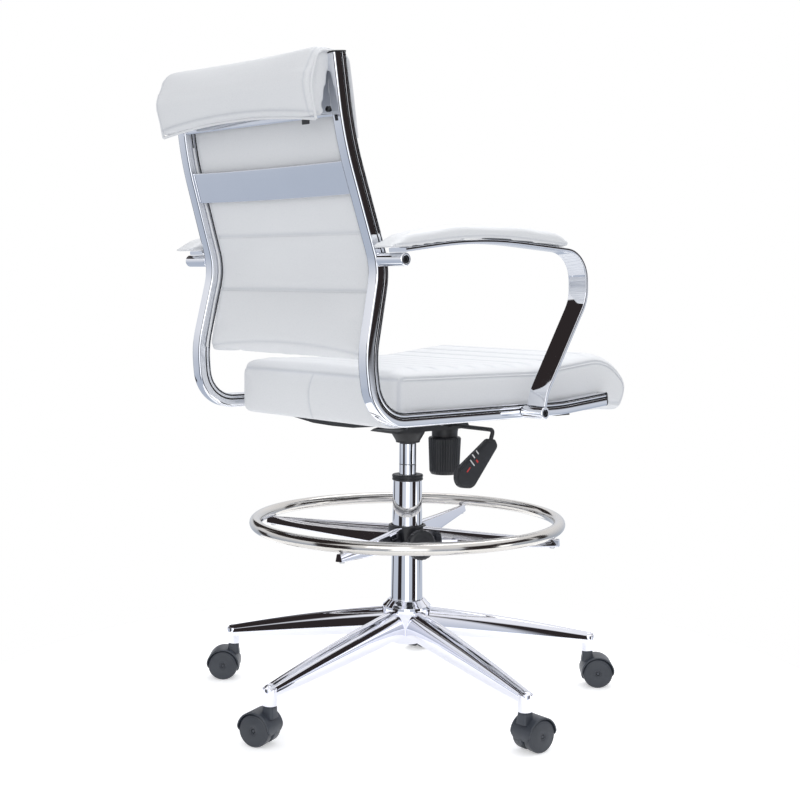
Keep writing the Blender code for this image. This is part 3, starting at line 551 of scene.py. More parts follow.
def rail_ends():
    """Black plugs in the rails' ends: a flat cap on top and a blunt tapered nose in front."""
    section = rounded(((-0.0107, -0.0112, 0.0034), (0.0107, -0.0112, 0.0034),
                       (0.0107, 0.0112, 0.0010), (-0.0107, 0.0112, 0.0010)), closed=True,
                      arc_points=6)
    shapes = {"top": (0, 1, ((0.0003, 1.0), (0.0020, 1.0), (0.0028, 0.92))),
              "front": (-1, -2, ((0.0003, 1.0), (0.0020, 0.98), (0.0062, 0.74), (0.0090, 0.46)))}
    for name, side in (("right", 1), ("left", -1)):
        for end, (tip, before, steps) in shapes.items():
            ahead = unit(RAIL_LINE[tip] - RAIL_LINE[before])
            front = left_normals(RAIL_LINE)[tip]
            steps = np.array(steps)
            line = (RAIL_LINE[tip] + steps[:, :1, None].transpose(0, 2, 1) * ahead
                    + steps[:, 1:, None] * section[None, :, 1:] * front)
            distance, up = lean(RAIL_SPACING + steps[:, 1:] * section[:, 0], line[..., 1])
            grid = chair(line[..., 0], side * distance, up)
            fit(f"rail_{end}_plug_{name}", grid, "seat",
                BLACK_PLASTIC, (f"rail_cap_{end}_{name}",), sharp=30)


def arm_bars():
    """Each arm's flat bar, a soft-edged strip carried along the arm's side outline."""
    line = rounded(ARM_CORNERS, count=150)
    normals = left_normals(line)
    lift = np.stack([np.zeros(len(line)), -normals[:, 0], normals[:, 1]], -1)
    wide = (ARM_OUTER - ARM_INNER) / 2
    thick = ARM_THICKNESS / 2
    strip = rounded(((-wide, -thick, 0.0014), (wide, -thick, 0.0014), (wide, thick, 0.0014),
                     (-wide, thick, 0.0014)), closed=True, arc_points=6)
    for name, side in (("right", 1), ("left", -1)):
        path = chair(line[:, 0], side * (ARM_INNER + ARM_OUTER) / 2, line[:, 1])
        grid = carried(path, (1, 0, 0), lift, strip)
        fit(f"arm_{name}", grid, "seat", CHROME,
            (f"arm_bar_{name}",))


def socket_screw(name, origin, axis, radius, body):
    """A dark socket screw: a round head with a six-sided recess."""
    angle = np.linspace(0, 2 * math.pi, 48, endpoint=False)
    hexagon = 0.5 * radius / np.cos((angle + math.pi / 6) % (math.pi / 3) - math.pi / 6)
    rims = ((0, 0, 0.0010), (0, 1.00, 0.0010), (0, 1.00, 0.0032), (0, 0.86, 0.0038),
            (1, 1.08, 0.0038), (1, 1.0, 0.0016), (1, 0.0, 0.0016))
    rows = [np.stack([size * (hexagon if inner else radius) * np.cos(angle),
                      size * (hexagon if inner else radius) * np.sin(angle),
                      height + 0 * angle], -1) for inner, size, height in rims]
    grid = stood(np.array(rows), origin, axis)
    fit(name, mesh_from(name, grid, capped=False), body, BLACK_PLASTIC, sharp=30)


def arm_spacers():
    """The round spacers between rail and arm, with a socket screw sunk in the outer end."""
    for name, side in (("right", 1), ("left", -1)):
        for end, (forward, up) in (("rear", REAR_SPACER), ("front", FRONT_SPACER)):
            inner = half_gap(up) + RAIL_WIDTH + 0.0009
            length = ARM_OUTER - inner
            radius = SPACER_RADIUS
            profile = rounded((
                (0, 0, 0), (radius - 0.0008, 0, 0.0003), (radius, 0.0010, 0.0006),
                (radius, length - 0.0012, 0.0010), (radius - 0.0014, length, 0.0008),
                (0.0062, length, 0.0004), (0.0058, length - 0.0042, 0), (0, length - 0.0042, 0)),
                arc_points=6)
            start = chair(forward, side * inner, up)
            axis = (-side, 0, 0)
            turned_piece(f"spacer_{end}_{name}", profile, start, "seat", CHROME,
                         (f"arm_spacer_{end}_{name}",), axis=axis, sides=48)
            head = chair(forward, side * (ARM_OUTER - 0.0052), up)
            socket_screw(f"spacer_screw_{end}_{name}", head, axis, 0.0052, "seat")


def crossbars():
    """Two flat bars across the back: a soft-edged strip, as wide as the gap between rails."""
    for name, bottom, top in (("upper", 0.9250, 0.9940), ("middle", 0.8190, 0.8650)):
        strip = rounded(((0.0028, bottom, 0.0016), (0.0072, bottom, 0.0016),
                         (0.0072, top, 0.0016), (0.0028, top, 0.0016)), closed=True,
                        count=120)
        across = np.linspace(-1, 1, 61)[:, None]
        sag = 0.0016 * (1 - across ** 2) * (name == "middle")
        up = strip[None, :, 1] - sag
        bow = 0.0008 * (1 - across ** 2)
        grid = chair(rail_forward(up) - strip[None, :, 0] - bow, across * (half_gap(up) - 0.0003),
                     up)
        fit(f"back_bar_{name}", grid, "seat", CHROME,
            (f"{name}_crossbar",))
    height = 0.9350
    for name, side in (("right", 1), ("left", -1)):
        place = chair(rail_forward(height) - 0.0068, side * (half_gap(height) - 0.009), height)
        socket_screw(f"bar_screw_{name}", place, (0, 1, 0), 0.0040, "seat")


# ---------------------------------------------------------------- star base and column
def leg_width(radius):
    """Half the width of a leg along its length, rounding off past the caster's stem."""
    share = (radius - 0.029) / (LEG_REACH - 0.029)
    plain = 0.0190 + (0.0104 - 0.0190) * share + 0.0012 * np.sin(math.pi * np.clip(share, 0, 1))
    past = np.clip((radius - LEG_REACH) / 0.0112, 0, 1)
    return plain * np.sqrt(np.maximum(1 - past ** 2, 0.0004))


def star_base():
    """Five legs and a hub. A leg's section is (w cos^p, h sin^p) above, and flat below."""
    hub = rounded((
        (0.0268, 0.1040, 0), (0.0190, 0.1040, 0), (0.0190, 0.0970, 0.0006),
        (0.0240, 0.0970, 0.0015), (0.0330, 0.1180, 0.0060), (0.0392, 0.1480, 0.0030),
        (0.0405, 0.1520, 0.0010), (0.0405, 0.1600, 0.0016), (0.0360, 0.1640, 0.0015),
        (0.0300, 0.1700, 0.0015), (0.0268, 0.1700, 0.0004)), closed=True, arc_points=8)
    centre = (*COLUMN, 0)
    turned_piece("star_hub", hub, centre, "base", CAST_CHROME, ("base_star",),
                 loop=True, sides=96)
    turn = np.linspace(0, math.pi, 33)
    arch = np.stack([np.cos(turn), np.sin(turn)], -1)
    arch = np.sign(arch) * np.abs(arch) ** LEG_ARCH_POWER
    reach = np.concatenate([np.linspace(0.024, LEG_REACH, 60),
                            LEG_REACH + 0.0112 * np.sin(np.linspace(0.1, math.pi / 2, 12))])
    share = np.clip((reach - 0.029) / (LEG_REACH - 0.029), 0, 1)
    top = 0.1560 + (0.0945 - 0.1560) * share + 0.0035 * np.sin(math.pi * share)
    bottom = 0.1120 + (0.0760 - 0.1120) * share - 0.0015 * np.sin(math.pi * share)
    past = np.clip((reach - LEG_REACH) / 0.0112, 0, 1)
    top = top - 0.0040 * past ** 2
    height = top - bottom
    for number in range(1, 6):
        stem = np.array(JOINTS[f"caster_swivel_{number}"]["pos_m"])
        ahead = unit(stem[:2] - COLUMN)
        path = np.stack([COLUMN[0] + ahead[0] * reach, COLUMN[1] + ahead[1] * reach, bottom], -1)
        sideways = np.array((-ahead[1], ahead[0], 0))
        upper = np.stack([leg_width(reach)[:, None] * arch[:, 0],
                          height[:, None] * (0.22 + 0.78 * arch[:, 1])], -1)
        under = np.stack([leg_width(reach)[:, None] * (-0.90, -0.74, 0.74, 0.90),
                          height[:, None] * (0.0, 0.10, 0.10, 0.0)], -1)
        grid = carried(path, sideways, (0, 0, 1), np.concatenate([upper, under], 1))
        fit(f"star_leg_{number}", grid, "base", CAST_CHROME)
        socket = rounded((
            (0, 0.0900, 0), (0.0112, 0.0900, 0.0020), (0.0112, 0.0620, 0.0012),
            (0.0062, 0.0620, 0.0004), (0.0058, 0.0740, 0), (0, 0.0740, 0)), arc_points=6)
        turned_piece(f"star_socket_{number}", socket, (*stem[:2], 0), "base", CAST_CHROME, sides=48)


def column():
    """The outer tube, its ribbed collar and the gas cylinder that slides in it."""
    centre = (*COLUMN, 0)
    turned_piece("outer_tube", rounded((
        (0.0238, 0.3692, 0.0006), (0.0262, 0.1750, 0.2), (0.0262, 0.1045, 0.0006),
        (0.0220, 0.1045, 0), (0.0220, 0.3692, 0.0003)), closed=True, arc_points=10),
        centre, "base", CHROME, ("column_tube",), loop=True, sides=96)
    turned_piece("tube_collar", rounded((
        (0.0246, 0.3790, 0.0008), (0.0257, 0.3776, 0.0005), (0.0257, 0.3748, 0.0004),
        (0.0248, 0.3744, 0.0002), (0.0248, 0.3730, 0.0002), (0.0256, 0.3726, 0.0004),
        (0.0256, 0.3706, 0.0006), (0.0250, 0.3695, 0.0003), (0.0146, 0.3695, 0),
        (0.0146, 0.3790, 0.0005)), closed=True, arc_points=6),
        centre, "base", BLACK_PLASTIC, ("column_collar",), loop=True,
        sides=120, ribs=40, depth=0.0004, ribbed=(0.3706, 0.3776))
    turned_piece("lift_cylinder", rounded((
        (0, 0.4535, 0), (0.0126, 0.4535, 0.0004), (0.0132, 0.4315, 0.0006),
        (0.0140, 0.4300, 0.0005), (0.0140, 0.3966, 0.0002), (0.0136, 0.3963, 0),
        (0.0136, 0.3955, 0), (0.0140, 0.3952, 0.0002), (0.0140, 0.1180, 0.001),
        (0.0055, 0.1180, 0), (0.0055, 0.3900, 0), (0, 0.3900, 0)), arc_points=6),
        centre, "lift", CHROME, ("gas_cylinder",), sides=80)
    turned_piece("cylinder_line", rounded((
        (0.0139, 0.3966, 0), (0.0139, 0.3952, 0), (0.0134, 0.3952, 0), (0.0134, 0.3966, 0)),
        closed=True), centre, "lift", BLACK_PLASTIC, loop=True, sides=80)


def foot_ring():
    """The ring's tube, its spider and the black knob that clamps it to the column."""
    low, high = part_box("foot_ring")
    height = (low[2] + high[2]) / 2
    around = np.linspace(0, 2 * math.pi, 200, endpoint=False)
    outwards = np.stack([np.cos(around), np.sin(around), 0 * around], -1)
    path = np.array((*COLUMN, height)) + RING_RADIUS * outwards
    grid = carried(path, outwards, (0, 0, 1), ring_profile(RING_TUBE, 32))
    fit("foot_ring_tube", mesh_from("foot_ring_tube", grid, loop=True), "foot_ring",
        RING_STEEL, ("foot_ring",))
    centre = (*COLUMN, 0)
    turned_piece("ring_hub", rounded((
        (0.0302, 0.2950, 0.0008), (0.0312, 0.2930, 0.0010), (0.0312, 0.2560, 0.0010),
        (0.0302, 0.2540, 0.0008), (0.0268, 0.2540, 0), (0.0268, 0.2950, 0.0004)), closed=True,
        arc_points=6), centre, "foot_ring", BLACK_PLASTIC, ("ring_spider",),
        loop=True, sides=80)
    reach = np.linspace(*SPOKE_ENDS, 50)
    share = (reach - SPOKE_ENDS[0]) / (SPOKE_ENDS[1] - SPOKE_ENDS[0])
    top = 0.2935 + (0.2903 - 0.2935) * share - 0.0010 * np.sin(math.pi * share)
    deep = 0.0375 + (0.0120 - 0.0375) * share ** 0.85
    half = 0.0100 + (0.0055 - 0.0100) * share
    section = rounded(((-1, 0, 0.12), (-0.55, 1, 0.22), (0.55, 1, 0.22), (1, 0, 0.12)),
                      closed=True, arc_points=6)
    for number, angle in enumerate(SPOKE_ANGLES, 1):
        ahead = np.array((math.cos(angle), math.sin(angle), 0))
        path = np.array((*COLUMN, 0)) + reach[:, None] * ahead
        path[:, 2] = top - deep
        profile = section[None] * np.stack([half, deep], -1)[:, None]
        grid = carried(path, (-ahead[1], ahead[0], 0), (0, 0, 1), profile)
        fit(f"ring_spoke_{number}", grid, "foot_ring",
            CAST_CHROME)
        seat = np.array((*COLUMN, 0.2902)) + RING_RADIUS * ahead
        turned_piece(f"spoke_screw_{number}", rounded((
            (0, -0.0155, 0), (0.0042, -0.0155, 0.0012), (0.0048, -0.0125, 0.0004),
            (0.0048, -0.0105, 0), (0, -0.0105, 0)), arc_points=5), seat, "foot_ring",
            PLAIN_STEEL, sides=24)
    clamp = JOINTS["clamp_turn"]
    axis = unit(clamp["axis"])
    root = np.array(clamp["pos_m"]) - axis * 0.0205
    turned_piece("clamp_boss", rounded((
        (0.0043, -0.0050, 0), (0.0100, -0.0050, 0), (0.0100, 0.0050, 0.0010),
        (0.0043, 0.0054, 0)), closed=True), root, "foot_ring", BLACK_PLASTIC,
        axis=axis, loop=True, sides=40)
    turned_piece("ring_clamp_knob", rounded((
        (0, 0.0276, 0), (0.0120, 0.0276, 0.004), (0.0150, 0.0266, 0.002),
        (0.0205, 0.0268, 0.0030), (0.0250, 0.0238, 0.0030), (0.0250, 0.0152, 0.0020),
        (0.0218, 0.0125, 0.0020), (0.0112, 0.0110, 0.0030), (0.0100, 0.0060, 0.0004),
        (0.0040, 0.0060, 0), (0.0040, -0.0066, 0.0004), (0, -0.0066, 0)), arc_points=7),
        root, "clamp_knob", BLACK_PLASTIC, ("clamp_knob",), axis=axis,
        sides=144, ribs=24, depth=0.0011, ribbed=(0.0150, 0.0245))


# ---------------------------------------------------------------- mechanism
def mechanism():
    """Smooth skins of the column cup and spring neck, the tension knob and the lever."""
    centre = (*COLUMN, 0)
    turned_piece("column_cup", rounded((
        (0.0150, 0.4516, 0), (0.0290, 0.4516, 0.0010), (0.0272, 0.4470, 0.0030),
        (0.0202, 0.4350, 0.0020), (0.0198, 0.4322, 0.0008), (0.0141, 0.4322, 0.0004)),
        closed=True, arc_points=7), centre, "lift", BLACK_STEEL, loop=True,
        sides=80)
    knob = JOINTS["tension_turn"]["pos_m"]
    place = (knob[0], knob[1], 0)
    turned_piece("spring_neck", rounded((
        (0.0180, 0.4516, 0), (0.0236, 0.4516, 0.0010), (0.0220, 0.4440, 0.0020),
        (0.0219, 0.4365, 0.0006), (0.0180, 0.4365, 0)), closed=True, arc_points=6), place,
        "lift", BLACK_STEEL, loop=True, sides=80)
    turned_piece("tilt_tension_knob", rounded((
        (0.0262, 0.4352, 0.0008), (0.0277, 0.4330, 0.0010), (0.0255, 0.3775, 0.0030),
        (0.0226, 0.3722, 0.0020), (0, 0.3720, 0), (0, 0.3790, 0), (0.0195, 0.3790, 0),
        (0.0235, 0.3830, 0.001), (0.0240, 0.4350, 0.0004)), arc_points=8), place,
        "tension_knob", BLACK_PLASTIC, ("tension_knob",), sides=256, ribs=32,
        depth=0.0009, ribbed=(0.3735, 0.4336))
    lever()


def lever():
    """The thin bent rod, the flat paddle at its end, and plain marks on the paddle."""
    forward, up = LEVER_ROOT
    bend = rounded(((-0.0120, 0.0, 0), (PADDLE_RIGHT, 0.0, 0.0060), (PADDLE_RIGHT, -0.0260, 0)),
                   count=70)
    path = chair(forward - 0.35 * np.clip(-bend[:, 1], 0, 1), bend[:, 0], up + bend[:, 1])
    ahead = unit(np.gradient(path, axis=0))
    sideways = np.array((0.0, 1.0, 0.0))
    grid = carried(path, sideways, unit(np.cross(ahead, sideways)), ring_profile(0.0035, 16))
    fit("lever_bent_rod", grid, "lever", BLACK_STEEL,
        ("lever_rod",))
    corners = np.array((
        (forward + 0.0015, up - 0.0150, 0.0060), (forward + 0.0085, up - 0.0265, 0.0080),
        (forward - 0.0470, up - 0.0910, 0.0180), (forward - 0.0930, up - 0.0850, 0.0190),
        (forward - 0.0820, up - 0.0570, 0.0180), (forward - 0.0150, up - 0.0130, 0.0100)))
    outline = rounded(corners, closed=True, count=160)
    grid = slab(outline, 0.0042, 0.0022, 4, middle=PADDLE_RIGHT)
    fit("lever_hand_paddle", grid, "lever", BLACK_PLASTIC, ("lever_paddle",))
    raised = outline - 0.0042 * outward_normals(outline)
    grid = slab(raised, 0.0012, 0.0007, 2, middle=PADDLE_RIGHT + 0.0038)
    fit("lever_paddle_face", grid, "lever", BLACK_PLASTIC)
    long_way = unit((-0.0760, -0.0720))
    short_way = np.array((-long_way[1], long_way[0]))
    root = np.array(LEVER_ROOT)
    corner = ((-1, -1, 0.3), (1, -1, 0.3), (1, 1, 0.3), (-1, 1, 0.3))
    marks = (                     # along and across the paddle, half width, half height, ink
        (0.052, -0.004, 0.0042, 0.0011, WHITE_MARK), (0.062, -0.006, 0.0044, 0.0011, WHITE_MARK),
        (0.062, 0.006, 0.0030, 0.0016, RED_MARK), (0.071, 0.000, 0.0070, 0.0010, WHITE_MARK),
        (0.084, 0.002, 0.0012, 0.0052, RED_MARK))
    for number, (along, over, wide, tall, ink) in enumerate(marks, 1):
        square = rounded(corner, closed=True, arc_points=4) * (tall, wide)
        flat = root + long_way * (along + square[:, :1]) + short_way * (over + square[:, 1:])
        name = f"paddle_mark_{number}"
        grid = slab(flat, 0.00012, 0.00005, 2, middle=PADDLE_RIGHT + 0.00502)
        fit(name, grid, "lever", ink)


# ---------------------------------------------------------------- casters
def caster(number):
    """One caster: a hood over twin wheels, a web between them and a square neck."""
    stem = np.array(JOINTS[f"caster_swivel_{number}"]["pos_m"])
    wheel = np.array(JOINTS[f"wheel_turn_{number}_a"]["pos_m"])
    ahead = unit(np.array((*(wheel[:2] - stem[:2]), 0)))
    axle = np.cross((0, 0, 1), ahead)
    radius = wheel[2]
    around = np.radians(np.linspace(-12, 192, 70))
    outwards = ahead * np.cos(around)[:, None] + np.array((0, 0, 1)) * np.sin(around)[:, None]
    half, inner, outer = 0.0215, radius + 0.0008, radius + 0.0031
    taper = np.clip((np.radians(102) - np.abs(around - math.pi / 2)) / math.radians(26), 0, 1)
    narrow = 0.62 + 0.38 * np.sin(taper * math.pi / 2)
    thick = 0.35 + 0.65 * taper ** 0.6
    strip = rounded(((-half, 0.0, 0.0005), (half, 0.0, 0.0005), (half, outer - inner, 0.0013),
                     (-half, outer - inner, 0.0013)), closed=True, arc_points=6)
    profile = strip[None] * np.stack([narrow, thick], -1)[:, None]
    grid = carried(wheel + outwards * inner, axle, outwards, profile)
    body = f"caster_{number}"
    fit(f"caster_hood_{number}", grid, body, CASTER_PLASTIC, (f"caster_body_{number}",))
    turn = np.linspace(0, 2 * math.pi, 80, endpoint=False)
    floor_gap = (radius - 0.0120) / np.maximum(-np.sin(turn), 0.05)
    rim = np.minimum(radius + 0.0024, floor_gap)
    flat = np.stack([rim * np.cos(turn), 0 * turn, rim * np.sin(turn)], -1)
    sides = [(0.0, -0.0034), (0.96, -0.0034), (1.0, -0.0028), (1.0, 0.0028), (0.96, 0.0034),
             (0.0, 0.0034)]
    rows = [flat * size + (0, width, 0) for size, width in sides]
    web = np.array(rows) @ np.stack([ahead, axle, (0, 0, 1)]) + wheel
    fit(f"caster_web_{number}", mesh_from(f"caster_web_{number}", web, capped=False), body,
        CASTER_PLASTIC)
    square = rounded(((-1, -1, 0.42), (1, -1, 0.42), (1, 1, 0.42), (-1, 1, 0.42)), closed=True,
                     arc_points=7)
    levels = ((0.0440, 0.0104), (0.0500, 0.0098), (0.0530, 0.0092), (0.0585, 0.0090),
              (0.0606, 0.0087), (0.0616, 0.0078))
    rows = [np.stack([square[:, 0] * size, square[:, 1] * size, 0 * square[:, 0] + level], -1)
            for level, size in levels]
    neck = stood(np.array(rows), (*stem[:2], 0), heading=ahead)
    fit(f"caster_neck_{number}", neck, body, CASTER_PLASTIC)
    turned_piece(f"caster_stem_{number}", rounded((
        (0, 0.0600, 0), (0.0054, 0.0600, 0), (0.0054, 0.0860, 0.0006), (0, 0.0860, 0))),
        (*stem[:2], 0), body, PLAIN_STEEL, sides=32)
    turned_piece(f"caster_axle_{number}", rounded((
        (0, -0.0200, 0), (0.0028, -0.0200, 0.0008), (0.0028, 0.0200, 0.0008), (0, 0.0200, 0))),
        wheel, body, CASTER_PLASTIC, axis=axle, sides=24)
    disc = rounded((
        (0.0034, 0.0040, 0.0004), (radius - 0.0030, 0.0040, 0.0010), (radius, 0.0058, 0.0022),
        (radius, 0.0184, 0.0028), (radius - 0.0028, 0.0204, 0.0014),
        (radius - 0.0040, 0.0200, 0.0006), (radius - 0.0046, 0.0204, 0.0006),
        (0.0110, 0.0213, 0.0200), (0.0060, 0.0211, 0.0006),
        (0.0054, 0.0203, 0.0004), (0.0034, 0.0203, 0.0004)), closed=True, arc_points=7)
    for letter in "ab":
        axis = np.array(JOINTS[f"wheel_turn_{number}_{letter}"]["axis"])
        low, high = (np.array(corner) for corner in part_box(f"caster_wheel_{number}_{letter}"))
        out = axis * math.copysign(1, ((low + high) / 2 - wheel) @ axis)
        turned_piece(f"caster_disc_{number}_{letter}", disc, wheel, f"wheel_{number}_{letter}",
                     WHEEL_PLASTIC, (f"caster_wheel_{number}_{letter}",),
                     axis=out, loop=True, sides=72)


# ---------------------------------------------------------------- padding and sewing
def chair_places(mesh):
    """The forward, right and up places of a mesh's vertices."""
    places = coordinates(mesh)
    return COLUMN[1] - places[:, 1], COLUMN[0] - places[:, 0], places[:, 2]


CLOTH_PRESSURE, CLOTH_FRAMES = 4.0, 20
STITCH_PITCH, STITCH_LENGTH = 0.0042, 0.0030


def padded_mesh(name, mesh, voxel, pinned, cap):
    """Foam under leather: the shape remeshed, blown up as cloth and held at its seams.

    pinned says which places (forward, right, up) a seam holds. No point moves more than
    cap from where it starts, and the weave of the remesh is smoothed out afterwards.
    """
    work = bpy.data.objects.new(name + "_form", mesh)
    bpy.context.scene.collection.objects.link(work)
    remesh = work.modifiers.new("even", "REMESH")
    remesh.mode = "VOXEL"
    remesh.voxel_size = voxel
    even = baked(work)
    work.modifiers.clear()
    work.data = even
    held = pinned(*chair_places(even))
    before = coordinates(even)
    seam = work.vertex_groups.new(name="seam")
    seam.add(np.flatnonzero(held).tolist(), 1.0, "REPLACE")
    cloth = work.modifiers.new("cloth", "CLOTH")
    cloth.settings.quality = 5
    cloth.settings.mass = 0.3
    cloth.settings.tension_stiffness = 12
    cloth.settings.compression_stiffness = 12
    cloth.settings.shear_stiffness = 5
    cloth.settings.bending_stiffness = 0.6
    cloth.settings.use_pressure = True
    cloth.settings.uniform_pressure_force = CLOTH_PRESSURE
    cloth.settings.vertex_group_mass = "seam"
    cloth.settings.effector_weights.gravity = 0
    cloth.point_cache.frame_start = 1
    cloth.point_cache.frame_end = CLOTH_FRAMES
    for step in range(1, CLOTH_FRAMES + 1):
        bpy.context.scene.frame_set(step)
    blown = baked(work)
    moved = coordinates(blown) - before
    far = np.linalg.norm(moved, axis=1, keepdims=True)
    before = before + moved * np.minimum(1, cap / np.maximum(far, 1e-9))
    work.modifiers.clear()
    bpy.context.scene.frame_set(1)
    place_vertices(even, before)
    smooth = work.modifiers.new("settle", "SMOOTH")
    smooth.factor = 0.5
    smooth.iterations = 3
    finer = work.modifiers.new("finer", "SUBSURF")
    finer.levels = finer.render_levels = 1
    done = baked(work)
    done.name = name
    bpy.data.objects.remove(work)
    return done


def creased(mesh, amount):
    """Store how deep in a crease each vertex lies; the leather reads it to paint shade into the crease and to dull
    it.
    """
    layer = mesh.attributes.new("crease", "FLOAT", "POINT")
    layer.data.foreach_set("value", np.asarray(amount, np.float32))


def dip(distance, width):
    """A smooth groove: 1 on its line, falling off as exp(-(distance / width)^2)."""
    return np.exp(-(distance / width) ** 2)


def to_nearest(values, lines):
    """Signed distance from each value to the nearest of some lines."""
    apart = values[:, None] - np.asarray(lines)[None]
    return apart[np.arange(len(values)), np.abs(apart).argmin(1)]


def laid_on(path, mesh, axis, sign):
    """The path moved along an axis until it lies on the outermost vertices near it."""
    places, path = coordinates(mesh), path.copy()
    others = [number for number in range(3) if number != axis]
    reach = np.empty(len(path))
    for block in np.array_split(np.arange(len(path)), 16):
        apart = np.linalg.norm(path[block][:, None, others] - places[None][:, :, others], axis=2)
        near = np.where(apart < 0.0045, sign * places[:, axis], -np.inf).max(1)
        reach[block] = np.where(np.isfinite(near), near, sign * path[block, axis])
    path[:, axis] = sign * np.convolve(np.pad(reach, 5, "edge"), np.ones(11) / 11, "valid")
    return path


def stitches(name, path, outwards, body, thick=0.00042):
    """A row of stitches: one small capsule per pitch along a path, on the outward side."""
    run = np.linalg.norm(np.diff(path, axis=0), axis=1).sum()
    count = int(run / STITCH_PITCH)
    both = evenly(np.hstack([path, outwards]), count)
    place, out = both[:, :3], unit(both[:, 3:])
    ahead = unit(np.gradient(place, axis=0))
    side = unit(np.cross(ahead, out))
    turn = np.linspace(0, 2 * math.pi, 6, endpoint=False)
    along = np.array((-1.0, -0.8, 0.0, 0.8, 1.0))
    fat = np.array((0.0, 0.75, 1.0, 0.75, 0.0))[:, None]
    local = np.stack([np.broadcast_to(along[:, None] * STITCH_LENGTH / 2, (5, 6)),
                      fat * thick * np.cos(turn), fat * thick * np.sin(turn)], -1)
    axes = np.stack([ahead, side, out], 1)
    grid = place[:, None, None] + np.einsum("ijk,nkl->nijl", local, axes)
    index = np.arange(count * 30).reshape(count, 5, 6)
    index = np.concatenate([index, index[:, :, :1]], 2)
    quads = np.stack([index[:, :-1, :-1], index[:, :-1, 1:], index[:, 1:, 1:],
                      index[:, 1:, :-1]], -1)
    return fit(name, welded(name, grid, quads), body, THREAD, sharp=60)


def piping(name, path, reference, body, radius=0.0021):
    """A leather-covered cord sewn into a seam, as a thin tube along the seam's path."""
    ahead = unit(np.gradient(path, axis=0))
    side = unit(np.cross(ahead, reference))
    grid = carried(path, side, unit(np.cross(side, ahead)), ring_profile(radius, 12))
    return fit(name, grid, body, LEATHER)


SEAT_HALF, SEAT_EDGE, SEAM_DROP = 0.1985, 0.0220, 0.0150
SEAT_LINE = rounded(SEAT_CORNERS, closed=True, count=1680)
SEAT_NORMALS = outward_normals(SEAT_LINE)
SEAT_STEPS = np.concatenate([[0], np.cumsum(np.linalg.norm(np.diff(SEAT_LINE, axis=0), axis=1))])


def seat_run(forward, up):
    """Nearest point of the seat's side outline: how far along it, how deep inside, and normal."""
    run, depth, normal = np.empty(len(up)), np.empty(len(up)), np.empty((len(up), 2))
    for block in np.array_split(np.arange(len(up)), 60):
        apart = np.hypot(forward[block, None] - SEAT_LINE[:, 0], up[block, None] - SEAT_LINE[:, 1])
        nearest = apart.argmin(1)
        run[block], depth[block] = SEAT_STEPS[nearest], apart.min(1)
        normal[block] = SEAT_NORMALS[nearest]
    return run, depth, normal


def seat_cushion():
    """The thick seat: crowned panels between ribs across the top, and a waterfall front.

    Along the outline the top stands out by sqrt(1 - (2 d / pitch)^2), where d is the
    distance to the nearest rib, and a rib dips by exp(-(d / width)^2).
    """
    start = SEAT_STEPS[np.argmax(SEAT_LINE[:, 0])] - 0.012
    stop = SEAT_STEPS[np.argmin(np.hypot(SEAT_LINE[:, 0] + 0.195, SEAT_LINE[:, 1] - 0.568))]
    ribs = np.arange(start + 0.020, stop - 0.012, RIB_PITCH)

    def held(forward, right, up):
        run, depth, _ = seat_run(forward, up)
        top = (run > start) & (run < stop) & (np.abs(right) < SEAT_HALF - 0.010)
        rib = top & (np.abs(to_nearest(run, ribs)) < 0.0035) & (depth < 0.006)
        side = (np.abs(right) > SEAT_HALF - 0.007) & (np.abs(depth - SEAM_DROP) < 0.004)
        return rib | side | (up < 0.4900)

    line = (SEAT_LINE - SEAT_NORMALS * 0.0015)[::4]
    form = mesh_from("seat_form", slab(line, SEAT_HALF - 0.0010, SEAT_EDGE, 60))
    mesh = padded_mesh("seat_padding", form, 0.0055, held, 0.0060)
    forward, right, up = chair_places(mesh)
    run, depth, normal = seat_run(forward, up)
    away = np.abs(to_nearest(run, ribs))
    fade = np.clip((SEAT_HALF - 0.012 - np.abs(right)) / 0.030, 0, 1) ** 0.7
    on_top = np.clip((run - start) / 0.01, 0, 1) * np.clip((stop - run) / 0.01, 0, 1)
    on_top = on_top * (depth < 0.012)
    groove = dip(away, 0.0042) * fade * on_top
    crown = np.sqrt(np.maximum(1 - (2 * away / RIB_PITCH) ** 2, 0)) * fade * on_top
    side_seam = dip(depth - SEAM_DROP, 0.0028) * (np.abs(right) > SEAT_HALF - 0.009)
    rear_seam = np.maximum(dip(right, 0.0024) * (up < 0.554), dip(up - 0.5540, 0.0026))
    rear_seam = rear_seam * (forward < -0.192)
    shift = (0.0026 * crown - 0.0046 * groove)[:, None] * normal
    corner = np.clip((-0.168 - forward) / 0.038, 0, 1) ** 2
    places = coordinates(mesh)
    places[:, 0] += 0.0018 * side_seam * np.sign(right) + 0.045 * corner * right
    places[:, 1] -= shift[:, 0] + 0.0018 * rear_seam
    places[:, 2] += shift[:, 1]
    place_vertices(mesh, places)
    # painted shade: the crease attribute darkens the rib grooves and the side and rear seams
    creased(mesh, np.clip(groove + 0.9 * (side_seam + rear_seam), 0, 1))
    piece = fit("seat_padding", mesh, "seat", LEATHER,
                ("seat_cushion", "seat_pan"), 180)
    inset = (SEAT_LINE - SEAT_NORMALS * SEAM_DROP)[(SEAT_STEPS > start + 0.012)
                                                   & (SEAT_STEPS < stop)][::6]
    for name, side in (("right", 1), ("left", -1)):
        seam = laid_on(chair(inset[:, 0], side * SEAT_HALF, inset[:, 1]), mesh, 0, -side)
        piping(f"seat_seam_{name}", seam + (0.0004 * side, 0, 0), (1, 0, 0), "seat", 0.0010)
        above = laid_on(seam + (0, 0, 0.0036), mesh, 0, -side)
        stitches(f"seat_stitches_{name}", above,
                 np.broadcast_to((-side, 0.0, 0.0), above.shape), "seat")


BACK_BOTTOM, BACK_TOP = 0.5945, 0.9965


def back_section(up):
    """Half the width of the back pad and how far forward its middle is, at a height."""
    return half_gap(up) - 0.0010, rail_forward(up) + 0.0186


